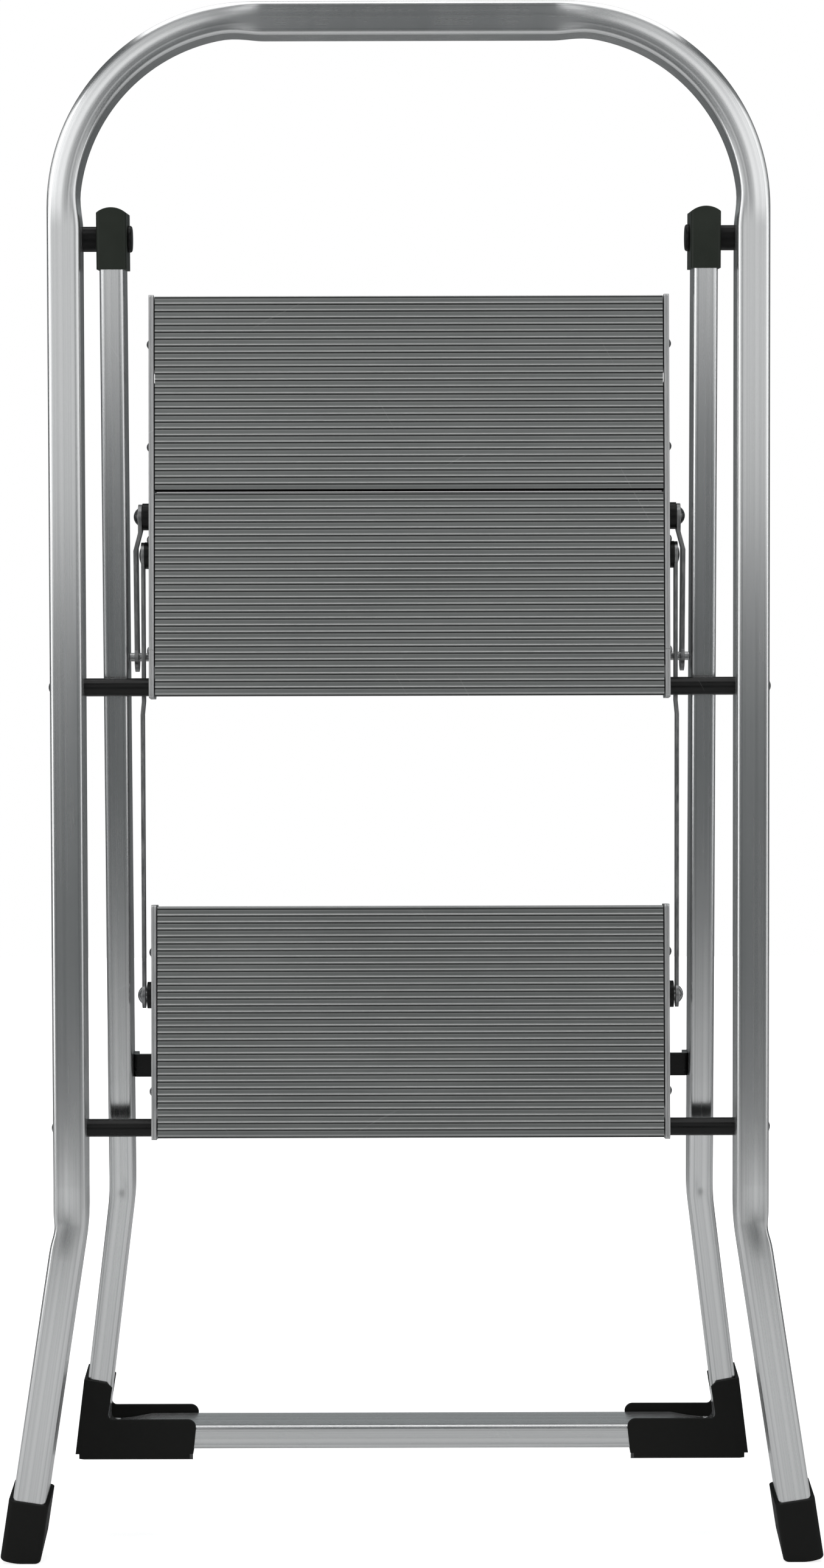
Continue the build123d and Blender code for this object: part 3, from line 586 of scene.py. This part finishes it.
def product(tree, a, b):
    """Two values multiplied."""
    return calculate(tree, "MULTIPLY", a, b)


def distance_from(tree, value, centre):
    """How far a value is from a centre, either way."""
    return calculate(tree, "ABSOLUTE", calculate(tree, "SUBTRACT", value, centre))


def remap(tree, value, low, high, to_low=0.0, to_high=1.0):
    """A value carried smoothly from one range to another."""
    return add(
        tree, "ShaderNodeMapRange",
        {"Value": value, "From Min": low, "From Max": high, "To Min": to_low, "To Max": to_high},
        interpolation_type="SMOOTHSTEP",
    ).outputs["Result"]


def blend_colours(tree, share, first, second):
    """A mix of two colours."""
    return add(tree, "ShaderNodeMix", {0: share, 6: first, 7: second}, data_type="RGBA").outputs[2]


def grey(value, blue=0.0):
    """A near-neutral colour."""
    return (value * (1 - blue), value, value * (1 + blue), 1.0)


def attribute(tree, name):
    """A number stored on the vertices."""
    return add(tree, "ShaderNodeAttribute", attribute_name=name).outputs["Fac"]


def object_place(tree):
    """The place of a point in the object's own frame."""
    return add(tree, "ShaderNodeTexCoord").outputs["Object"]


def noise(tree, place, scale, detail, roughness=0.5):
    """A noise value at a place."""
    inputs = {"Vector": place, "Scale": scale, "Detail": detail, "Roughness": roughness}
    return add(tree, "ShaderNodeTexNoise", inputs).outputs["Fac"]


def scaled(tree, place, stretch):
    """A place multiplied by a vector."""
    return add(tree, "ShaderNodeVectorMath", {0: place, 1: stretch}, operation="MULTIPLY").outputs[0]


def new_group(name, inputs, outputs):
    """An empty shader node group with its sockets."""
    tree = bpy.data.node_groups.new(name, "ShaderNodeTree")
    for socket, kind, default in inputs:
        made = tree.interface.new_socket(name=socket, in_out="INPUT", socket_type=kind)
        if default is not None:
            made.default_value = default
    for socket, kind in outputs:
        tree.interface.new_socket(name=socket, in_out="OUTPUT", socket_type=kind)
    return tree, tree.nodes.new("NodeGroupInput"), tree.nodes.new("NodeGroupOutput")


def once(name, build):
    """The shader node group of that name, built the first time."""
    return bpy.data.node_groups.get(name) or build(name)


def build_unevenness(name):
    """Soft cloudy variation between two values, with its grain stretched by a vector."""
    tree, start, end = new_group(
        name,
        [
            ("Stretch", "NodeSocketVector", (1.0, 1.0, 1.0)), ("Scale", "NodeSocketFloat", 60.0),
            ("Low", "NodeSocketFloat", 0.0), ("High", "NodeSocketFloat", 1.0),
        ],
        [("Value", "NodeSocketFloat")],
    )
    stretched = scaled(tree, object_place(tree), start.outputs["Stretch"])
    value = add(
        tree, "ShaderNodeMapRange",
        {
            "Value": noise(tree, stretched, start.outputs["Scale"], 4.0, 0.55),
            "From Min": 0.3, "From Max": 0.7,
            "To Min": start.outputs["Low"], "To Max": start.outputs["High"],
        },
    )
    tree.links.new(value.outputs["Result"], end.inputs["Value"])
    return tree


def build_draw_lines(name):
    """Fine draw lines along a tube, and a painted shade line just inside its rim where the face turns into
    the corner, from the place in its section.
    """
    tree, start, end = new_group(
        name,
        [("Fineness", "NodeSocketFloat", 900.0), ("Coarseness", "NodeSocketFloat", 330.0)],
        [("Lines", "NodeSocketFloat"), ("Painted Rim Shade", "NodeSocketFloat"), ("Across", "NodeSocketFloat")],
    )
    across = attribute(tree, "across")
    section = add(tree, "ShaderNodeCombineXYZ", {0: across, 1: attribute(tree, "through")}).outputs[0]
    fine = product(tree, noise(tree, section, start.outputs["Fineness"], 2.0), 0.6)
    broad = product(tree, noise(tree, section, start.outputs["Coarseness"], 1.0), 0.4)
    # painted shade: a dark line 3.2 mm in from each side, standing in for the darker reflection where the
    # face turns into the corner
    from_line = distance_from(tree, attribute(tree, "rim"), 0.0032)
    tree.links.new(calculate(tree, "ADD", fine, broad), end.inputs["Lines"])
    tree.links.new(remap(tree, from_line, 0.0007, 0.0), end.inputs["Painted Rim Shade"])
    tree.links.new(across, end.inputs["Across"])
    return tree


def build_soft_edge(name):
    """A normal rounded over sharp edges, and a mask of the edges themselves."""
    tree, start, end = new_group(
        name, [("Radius", "NodeSocketFloat", 0.0006)],
        [("Normal", "NodeSocketVector"), ("Edge", "NodeSocketFloat")],
    )
    rounded = add(tree, "ShaderNodeBevel", {"Radius": start.outputs["Radius"]}, samples=4).outputs["Normal"]
    flat = add(tree, "ShaderNodeNewGeometry").outputs["Normal"]
    agreement = add(
        tree, "ShaderNodeVectorMath", {0: rounded, 1: flat}, operation="DOT_PRODUCT"
    ).outputs["Value"]
    tree.links.new(rounded, end.inputs["Normal"])
    tree.links.new(remap(tree, agreement, 0.995, 0.86), end.inputs["Edge"])
    return tree


def build_scratches(name):
    """Sparse fine scratches at two slants."""
    tree, start, end = new_group(name, [("Amount", "NodeSocketFloat", 1.0)], [("Mask", "NodeSocketFloat")])
    place = object_place(tree)
    masks = []
    for slant, stretch in ((0.5, (420.0, 60.0, 9.0)), (-1.1, (300.0, 60.0, 14.0))):
        turned = add(tree, "ShaderNodeMapping", {"Vector": place, "Rotation": (0.0, slant, 0.0)}).outputs[0]
        lines = noise(tree, scaled(tree, turned, stretch), 1.0, 2.0)
        masks.append(remap(tree, lines, 0.735, 0.78))
    both = calculate(tree, "MAXIMUM", *masks)
    tree.links.new(product(tree, both, start.outputs["Amount"]), end.inputs["Mask"])
    return tree


def build_pebble(name):
    """The fine grain of moulded plastic, as a height."""
    tree, start, end = new_group(
        name, [("Size", "NodeSocketFloat", 0.0007)], [("Height", "NodeSocketFloat")]
    )
    place = object_place(tree)
    scale = calculate(tree, "DIVIDE", 1.0, start.outputs["Size"])
    cells = add(tree, "ShaderNodeTexVoronoi", {"Vector": place, "Scale": scale}, feature="SMOOTH_F1")
    grain = noise(tree, place, scale, 2.0)
    tree.links.new(calculate(tree, "ADD", cells.outputs["Distance"], grain), end.inputs["Height"])
    return tree


def group(tree, name, build, inputs=None):
    """A node that uses a shared group."""
    return add(tree, "ShaderNodeGroup", inputs, node_tree=once(name, build))


def cloud(tree, scale, low=0.0, high=1.0, stretch=(1.0, 1.0, 1.0)):
    """The shared unevenness between two values."""
    inputs = {"Stretch": stretch, "Scale": scale, "Low": low, "High": high}
    return group(tree, "unevenness", build_unevenness, inputs).outputs["Value"]


def soft_edge(tree, radius):
    """The shared soft edge: its normal and its mask."""
    outputs = group(tree, "soft_edge", build_soft_edge, {"Radius": radius}).outputs
    return outputs["Normal"], outputs["Edge"]


def scratches(tree, share):
    """The shared scratches' mask."""
    return group(tree, "scratches", build_scratches, {"Amount": share}).outputs["Mask"]


def new_material(name):
    """A new material, its node tree and its Principled shader."""
    material = bpy.data.materials.new(name)
    material.use_nodes = True
    tree = material.node_tree
    return material, tree, tree.nodes["Principled BSDF"]


def set_inputs(tree, shader, values):
    """Sets or links several inputs of a shader."""
    for key, value in values.items():
        if isinstance(value, bpy.types.NodeSocket):
            tree.links.new(value, shader.inputs[key])
        else:
            shader.inputs[key].default_value = value


def bumped(tree, height, strength, distance, normal=None):
    """A normal from a height."""
    inputs = {"Height": height, "Strength": strength, "Distance": distance}
    if normal is not None:
        inputs["Normal"] = normal
    return add(tree, "ShaderNodeBump", inputs).outputs["Normal"]


def cached(build):
    """Builds a material the first time it is asked for."""
    made = {}

    def get():
        if "material" not in made:
            made["material"] = build()
        return made["material"]

    return get


def paint(obj, material):
    """Gives obj one material in every slot."""
    if not obj.material_slots:
        obj.data.materials.append(material)
    for slot in obj.material_slots:
        slot.material = material


# ---------------------------------------------------------------- finishes

@cached
def tube_metal():
    """Bright drawn aluminium with fine lengthwise lines, a painted shade line near each rim and painted
    shade along the pressed line of the handle bends.
    """
    material, tree, shader = new_material("drawn_aluminium")
    drawn = group(tree, "draw_lines_and_rim_shade", build_draw_lines).outputs
    lines = drawn["Lines"]
    # painted shade: a dark line along the pressed line of each handle bend, standing in for the darker
    # reflection where its face turns
    dark_line = remap(tree, distance_from(tree, drawn["Across"], -0.0025), 0.0011, 0.0)
    painted_crease_shade = product(tree, dark_line, product(tree, attribute(tree, "pressed"), 0.35))
    shade = remap(tree, lines, 0.35, 0.65, 0.0, 0.4)
    colour = blend_colours(tree, shade, grey(0.84, 0.004), grey(0.58, 0.015))
    # painted rim shade darkens the face near each rim
    colour = blend_colours(tree, product(tree, drawn["Painted Rim Shade"], 0.3), colour, grey(0.4, 0.02))
    colour = blend_colours(tree, painted_crease_shade, colour, grey(0.25, 0.02))
    colour = blend_colours(tree, scratches(tree, 0.35), colour, grey(0.9))
    uneven = cloud(tree, 30.0, -0.015, 0.02, (1.0, 1.0, 0.2))
    along = add(tree, "ShaderNodeAttribute", attribute_name="along").outputs["Vector"]
    tangent = add(
        tree, "ShaderNodeVectorTransform", {0: along},
        vector_type="VECTOR", convert_from="OBJECT", convert_to="WORLD",
    ).outputs[0]
    set_inputs(tree, shader, {
        "Base Color": colour,
        "Metallic": 1.0,
        "Roughness": calculate(tree, "ADD", uneven, remap(tree, lines, 0.3, 0.7, 0.22, 0.28)),
        "Anisotropic": 0.8,
        "Anisotropic Rotation": 0.25,
        "Tangent": tangent,
        "Normal": bumped(tree, lines, 0.12, 0.0001),
    })
    return material


def build_rib_shade(name):
    """Masks for the painted highlight on each rib's upper flank, the painted shade line under it, a weaker
    second painted highlight below, and the boards' joint.
    """
    tree, start, end = new_group(
        name,
        [(label, "NodeSocketFloat", 0.0) for label in ("Rod Y", "Rod Z", "Lean", "First", "Pitch", "Seam")],
        [(label, "NodeSocketFloat") for label in ("Light", "Painted Shade", "Seam")],
    )
    given = start.outputs
    parts = add(tree, "ShaderNodeSeparateXYZ", {0: object_place(tree)}).outputs
    up = calculate(tree, "SUBTRACT", parts["Z"], given["Rod Z"])
    back = calculate(tree, "SUBTRACT", parts["Y"], given["Rod Y"])
    up_part = product(tree, up, calculate(tree, "COSINE", given["Lean"]))
    back_part = product(tree, back, calculate(tree, "SINE", given["Lean"]))
    along = calculate(tree, "ADD", up_part, back_part)
    past_first = calculate(tree, "SUBTRACT", along, given["First"])
    cycles = calculate(tree, "DIVIDE", past_first, given["Pitch"])
    phase = calculate(tree, "SUBTRACT", calculate(tree, "FRACT", calculate(tree, "ADD", cycles, 0.5)), 0.5)
    masks = {}
    # painted highlight on each rib's upper flank, painted shade just under it and a weaker painted highlight
    # below that, as if lit from above
    for label, centre, reach in (("Light", 0.13, 0.15), ("Painted Shade", -0.12, 0.13), ("Second Painted Highlight", -0.31, 0.10)):
        masks[label] = remap(tree, distance_from(tree, phase, centre), reach, reach * 0.35)
    # the painted highlight mask, with the second painted highlight at a third of its strength
    light = calculate(tree, "MAXIMUM", masks["Light"], product(tree, masks["Second Painted Highlight"], 0.35))
    seam = remap(tree, distance_from(tree, along, given["Seam"]), 0.0014, 0.0010)
    tree.links.new(light, end.inputs["Light"])
    tree.links.new(masks["Painted Shade"], end.inputs["Painted Shade"])
    tree.links.new(seam, end.inputs["Seam"])
    return tree


def board_metal(name, rod, first, seam=-1.0):
    """Grey satin aluminium of a board, with painted highlight and shade on its ribs counted from the first
    one past its rod, and lighter edges.
    """
    low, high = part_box(rod)
    tubes = bpy.context.scene.stool_tubes
    material, tree, shader = new_material(name)
    ribs = group(tree, "rib_shade", build_rib_shade, {
        "Rod Y": (low.y + high.y) / 2,
        "Rod Z": (low.z + high.z) / 2,
        "Lean": tubes.tread_lean,
        "First": first,
        "Pitch": tubes.rib_pitch,
        "Seam": seam,
    }).outputs
    normal, edge = soft_edge(tree, 0.0003)
    fine = cloud(tree, 1400.0, stretch=(0.03, 1.0, 1.0))
    colour = blend_colours(tree, fine, (0.228, 0.240, 0.236, 1.0), (0.262, 0.272, 0.268, 1.0))
    # painted highlight on each rib's upper flank and painted shade line under it, as if lit from above
    colour = blend_colours(tree, product(tree, ribs["Light"], 0.60), colour, grey(0.66))
    colour = blend_colours(tree, product(tree, ribs["Painted Shade"], 0.85), colour, grey(0.02))
    colour = blend_colours(tree, scratches(tree, 0.12), colour, grey(0.6))
    # lighter edges: partly a painted highlight along the rounded edges, partly edge wear
    colour = blend_colours(tree, product(tree, edge, 0.25), colour, grey(0.6))
    colour = blend_colours(tree, ribs["Seam"], colour, grey(0.006))
    clear = calculate(tree, "SUBTRACT", 1.0, ribs["Seam"])
    uneven = cloud(tree, 22.0, -0.05, 0.05, (0.4, 1.0, 1.0))
    set_inputs(tree, shader, {
        "Base Color": colour,
        "Metallic": product(tree, clear, 0.85),
        "Specular IOR Level": product(tree, clear, 0.5),
        "Roughness": calculate(tree, "ADD", uneven, 0.40),
        "Normal": bumped(tree, fine, 0.2, 0.00006, normal),
    })
    return material


@cached
def front_board_metal():
    """The platform's front board."""
    tubes = bpy.context.scene.stool_tubes
    return board_metal("front_board_aluminium", "upper_rod", tubes.front_board_rib, tubes.seam)


@cached
def rear_board_metal():
    """The platform's rear board."""
    tubes = bpy.context.scene.stool_tubes
    return board_metal("rear_board_aluminium", "upper_rod", tubes.rear_board_rib, tubes.seam)


@cached
def step_board_metal():
    """The step's board."""
    return board_metal("step_board_aluminium", "lower_rod", bpy.context.scene.stool_tubes.step_board_rib)


@cached
def plate_metal():
    """The paler plates at the ends of the treads."""
    material, tree, shader = new_material("plate_aluminium")
    uneven = cloud(tree, 240.0, stretch=(1.0, 1.0, 0.1))
    colour = blend_colours(tree, uneven, grey(0.52, 0.01), grey(0.64))
    set_inputs(tree, shader, {
        "Base Color": blend_colours(tree, scratches(tree, 0.4), colour, grey(0.8)),
        "Metallic": 0.9,
        "Roughness": remap(tree, uneven, 0.0, 1.0, 0.34, 0.44),
        "Normal": soft_edge(tree, 0.0005)[0],
    })
    return material


@cached
def black_rod():
    """Satin black coated steel bar."""
    material, tree, shader = new_material("black_bar")
    uneven = cloud(tree, 300.0, stretch=(0.15, 1.0, 1.0))
    colour = blend_colours(tree, uneven, grey(0.003), grey(0.006))
    set_inputs(tree, shader, {
        "Base Color": blend_colours(tree, scratches(tree, 0.5), colour, grey(0.08)),
        "Roughness": remap(tree, uneven, 0.0, 1.0, 0.26, 0.36),
        "Specular IOR Level": 0.30,
        "Normal": bumped(tree, uneven, 0.15, 0.0001),
    })
    return material


@cached
def link_metal():
    """Dull zinc-plated steel strip, lighter along its edges as a painted highlight with a little edge wear.
    """
    material, tree, shader = new_material("link_steel")
    normal, edge = soft_edge(tree, 0.0004)
    uneven = cloud(tree, 500.0, stretch=(1.0, 1.0, 0.25))
    colour = blend_colours(tree, uneven, grey(0.23, 0.02), grey(0.34))
    colour = blend_colours(tree, scratches(tree, 0.6), colour, grey(0.6))
    # edges lightened strongly: partly a painted highlight along the rounded edges, partly edge wear
    set_inputs(tree, shader, {
        "Base Color": blend_colours(tree, product(tree, edge, 0.6), colour, grey(0.6)),
        "Metallic": 1.0,
        "Roughness": remap(tree, uneven, 0.0, 1.0, 0.30, 0.45),
        "Normal": bumped(tree, uneven, 0.2, 0.0001, normal),
    })
    return material


@cached
def rivet_metal():
    """Bright steel of the rivet heads, with painted shade round their rims where the domes turn away from
    the camera.
    """
    material, tree, shader = new_material("rivet_steel")
    uneven = cloud(tree, 900.0)
    colour = blend_colours(tree, uneven, grey(0.42, 0.01), grey(0.58))
    # painted shade: the rims of the rivet heads darken as they face away from the camera
    facing = add(tree, "ShaderNodeLayerWeight", {"Blend": 0.35}).outputs["Facing"]
    rim = remap(tree, facing, 0.25, 0.9, 0.0, 0.8)
    set_inputs(tree, shader, {
        "Base Color": blend_colours(tree, rim, colour, grey(0.05)),
        "Metallic": 1.0,
        "Roughness": remap(tree, uneven, 0.0, 1.0, 0.16, 0.26),
        "Normal": soft_edge(tree, 0.0003)[0],
    })
    return material


def plastic(name, dark, light, roughness, grain):
    """Black moulded plastic with a fine grain and slightly lighter edges, partly rubbing wear and partly
    painted highlight.
    """
    material, tree, shader = new_material(name)
    normal, edge = soft_edge(tree, 0.0009)
    height = group(tree, "pebble", build_pebble, {"Size": grain}).outputs["Height"]
    uneven = cloud(tree, 45.0)
    colour = blend_colours(tree, uneven, dark, light)
    # lighter edge colour: partly a painted highlight along the rounded edges, partly rubbing wear
    edge_wear_and_highlight = tuple(3.0 * part for part in light[:3]) + (1.0,)
    set_inputs(tree, shader, {
        "Base Color": blend_colours(tree, product(tree, edge, 0.45), colour, edge_wear_and_highlight),
        "Roughness": remap(tree, uneven, 0.0, 1.0, roughness - 0.05, roughness + 0.06),
        "Specular IOR Level": 0.24,
        "Normal": bumped(tree, height, 0.18, 0.00012, normal),
    })
    return material


@cached
def foot_plastic():
    """The rubbery plastic of the feet and boots."""
    dark = (0.0032, 0.0034, 0.0027, 1.0)
    light = (0.0050, 0.0052, 0.0044, 1.0)
    return plastic("foot_plastic", dark, light, 0.58, 0.0006)


@cached
def cap_plastic():
    """The slightly green black of the pivot caps."""
    dark = (0.020, 0.025, 0.019, 1.0)
    light = (0.027, 0.033, 0.026, 1.0)
    return plastic("cap_plastic", dark, light, 0.44, 0.0005)


@cached
def sleeve_plastic():
    """The smoother black of the spacers."""
    return plastic("sleeve_plastic", grey(0.004), grey(0.007), 0.36, 0.0004)


FINISHES = {
    "upper_rod": black_rod,
    "lower_rod": black_rod,
    "rod_rivets": rivet_metal,
    "front_boot": foot_plastic,
    "pivot_spacer": sleeve_plastic,
    "pivot_axle": sleeve_plastic,
    "pivot_cap": cap_plastic,
    "corner_foot": foot_plastic,
    "rear_brace": black_rod,
    "brace_rivets": rivet_metal,
    "platform_front_board": front_board_metal,
    "platform_rear_board": rear_board_metal,
    "platform_side": plate_metal,
    "platform_rivets": rivet_metal,
    "support_spacer": sleeve_plastic,
    "support_rivet": rivet_metal,
    "step_link_top_spacer": sleeve_plastic,
    "step_link_top_rivet": rivet_metal,
    "step_board": step_board_metal,
    "step_side": plate_metal,
    "step_rivets": rivet_metal,
    "step_link_bottom_spacer": sleeve_plastic,
    "step_link_bottom_rivet": rivet_metal,
    "support_link": link_metal,
    "support_pin": rivet_metal,
    "step_link": link_metal,
}


def finish_nodes():
    """Gives every CAD node that stays in view its finish."""
    for name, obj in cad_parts.items():
        family = name.removesuffix("_left").removesuffix("_right")
        if family in FINISHES:
            paint(obj, FINISHES[family]())
        elif not obj.hide_render:
            raise RuntimeError(f"no finish for {name}")


# ---------------------------------------------------------------- stage

def soft_box(name, location, target, size, power):
    """A rectangular area light that faces a point."""
    light = bpy.data.lights.new(name, "AREA")
    light.shape = "RECTANGLE"
    light.size, light.size_y = size
    light.energy = power
    obj = bpy.data.objects.new(name, light)
    obj.location = location
    obj.rotation_euler = (Vector(target) - Vector(location)).to_track_quat("-Z", "Y").to_euler()
    bpy.context.scene.collection.objects.link(obj)
    return obj


def stage_floor(settings):
    """A pale floor with a bright sweep under the stool."""
    object_mode()
    bpy.ops.object.select_all(action="DESELECT")
    bpy.ops.mesh.primitive_grid_add(x_subdivisions=8, y_subdivisions=8, size=2, location=(0, 0, 0))
    floor = bpy.context.object
    floor.name = "studio_floor"
    edit(floor)
    bpy.ops.mesh.select_all(action="SELECT")
    depth = (settings.floor_front + settings.floor_half) / 2
    bpy.ops.transform.resize(value=(settings.floor_half, depth, 1), center_override=(0, 0, 0))
    bpy.ops.transform.translate(value=(0, depth - settings.floor_front, -settings.floor_drop))
    object_mode()
    material, tree, shader = new_material("studio_floor")
    seen = add(tree, "ShaderNodeLightPath").outputs["Is Camera Ray"]
    away = add(tree, "ShaderNodeVectorMath", {0: object_place(tree)}, operation="LENGTH").outputs["Value"]
    shade = product(tree, cloud(tree, 3.0, 0.90, 0.93), remap(tree, away, 0.9, 2.0, 1.0, 0.62))
    set_inputs(tree, shader, {
        "Base Color": add(tree, "ShaderNodeCombineColor", {0: shade, 1: shade, 2: shade}).outputs[0],
        "Roughness": 0.9,
        "Emission Color": grey(1.0),
        "Emission Strength": product(tree, seen, remap(tree, away, 0.25, 1.2, 0.75, 1.3)),
    })
    paint(floor, material)


def stage_world(settings):
    """A white backdrop that the camera sees, and a dimmer room with a low glow behind for the metal."""
    world = bpy.data.worlds.new("studio")
    bpy.context.scene.world = world
    world.use_nodes = True
    tree = world.node_tree
    seen = add(tree, "ShaderNodeLightPath").outputs["Is Camera Ray"]
    direction = add(tree, "ShaderNodeTexCoord").outputs["Generated"]
    way = add(tree, "ShaderNodeSeparateXYZ", {0: direction}).outputs
    behind = product(tree, remap(tree, way["Y"], 0.6, 0.9), remap(tree, way["Z"], 0.11, 0.19))
    glow = product(tree, behind, remap(tree, way["Z"], 0.55, 0.35, 0.0, settings.back_glow))
    unseen = calculate(tree, "ADD", glow, settings.room)
    strength = add(tree, "ShaderNodeMix", {0: seen, 2: unseen, 3: 1.0}, data_type="FLOAT").outputs[0]
    tree.links.new(strength, tree.nodes["Background"].inputs["Strength"])
    colour = blend_colours(tree, seen, (0.92, 0.985, 1.0, 1.0), grey(1.0))
    tree.links.new(colour, tree.nodes["Background"].inputs["Color"])


def stage_lights(settings):
    """A tall panel at each side of the camera, a box at each side of the stool and one above it."""
    panel_size = (settings.panel_width, settings.panel_height)
    side_size = (settings.side_width, settings.side_height)
    top_size = (settings.top_size, settings.top_size)
    for side, name in ((1, "right"), (-1, "left")):
        panel_x = side * settings.panel_x
        panel_z = settings.panel_low + side * settings.panel_slant + settings.panel_height / 2
        panel_place = (panel_x, settings.panel_y, panel_z)
        soft_box(f"panel_{name}", panel_place, (panel_x, 0, panel_z), panel_size, settings.panel_power)
        side_place = (side * settings.side_x, settings.side_y, settings.side_z)
        side_power = settings.side_power - side * settings.side_power_step
        soft_box(f"side_{name}", side_place, (0, 0, settings.side_aim), side_size, side_power)
    top_place = (0, settings.top_y, settings.top_z)
    soft_box("top", top_place, (0, settings.top_y, 0), top_size, settings.top_power)


def stage_camera(settings):
    """The camera, level with the platform and looking slightly down."""
    data = bpy.data.cameras.new("camera")
    data.lens = settings.lens
    data.sensor_width = 36.0
    data.sensor_fit = "AUTO"
    data.dof.use_dof = False
    camera = bpy.data.objects.new("camera", data)
    camera.location = (settings.camera_x, settings.camera_y, settings.camera_z)
    camera.rotation_euler = (math.pi / 2 - settings.pitch, settings.roll, 0)
    bpy.context.scene.collection.objects.link(camera)
    bpy.context.scene.camera = camera
    bpy.context.scene.view_settings.view_transform = "Standard"


# ---------------------------------------------------------------- operators

class STOOL_OT_front_tube(bpy.types.Operator):
    """Build the handle bow and front legs as one bent tube"""

    bl_idname = "stool.front_tube"
    bl_label = "Front Tube"

    def execute(self, context):
        build_front_tube(context.scene.stool_tubes)
        return {"FINISHED"}


class STOOL_OT_rear_tube(bpy.types.Operator):
    """Build the rear legs and crossbar as one bent tube"""

    bl_idname = "stool.rear_tube"
    bl_label = "Rear Tube"

    def execute(self, context):
        build_rear_tube(context.scene.stool_tubes)
        return {"FINISHED"}


class STOOL_OT_finishes(bpy.types.Operator):
    """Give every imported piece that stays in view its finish"""

    bl_idname = "stool.finishes"
    bl_label = "Finishes"

    def execute(self, context):
        finish_nodes()
        return {"FINISHED"}


class STOOL_OT_stage(bpy.types.Operator):
    """Set up the floor, the backdrop, the lights and the camera"""

    bl_idname = "stool.stage"
    bl_label = "Stage"

    def execute(self, context):
        settings = context.scene.stool_stage
        stage_floor(settings)
        stage_world(settings)
        stage_lights(settings)
        stage_camera(settings)
        return {"FINISHED"}


class STOOL_PT_sidebar(bpy.types.Panel):
    """The stool's operators in the order they run"""

    bl_idname = "STOOL_PT_sidebar"
    bl_label = "Folding Stool"
    bl_space_type = "VIEW_3D"
    bl_region_type = "UI"
    bl_category = "Stool"

    def draw(self, context):
        for operator in OPERATORS:
            self.layout.operator(operator.bl_idname)


OPERATORS = (STOOL_OT_front_tube, STOOL_OT_rear_tube, STOOL_OT_finishes, STOOL_OT_stage)
CLASSES = (StoolTubeSettings, StoolStageSettings, *OPERATORS, STOOL_PT_sidebar)


def register():
    """Registers the classes and their settings."""
    for cls in CLASSES:
        bpy.utils.register_class(cls)
    bpy.types.Scene.stool_tubes = bpy.props.PointerProperty(type=StoolTubeSettings)
    bpy.types.Scene.stool_stage = bpy.props.PointerProperty(type=StoolStageSettings)


def unregister():
    """Removes what register added."""
    del bpy.types.Scene.stool_stage
    del bpy.types.Scene.stool_tubes
    for cls in reversed(CLASSES):
        bpy.utils.unregister_class(cls)


def main():
    """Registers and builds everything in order."""
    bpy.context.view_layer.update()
    register()
    bpy.ops.stool.front_tube()
    bpy.ops.stool.rear_tube()
    bpy.ops.stool.finishes()
    bpy.ops.stool.stage()


if __name__ == "__main__":
    main()
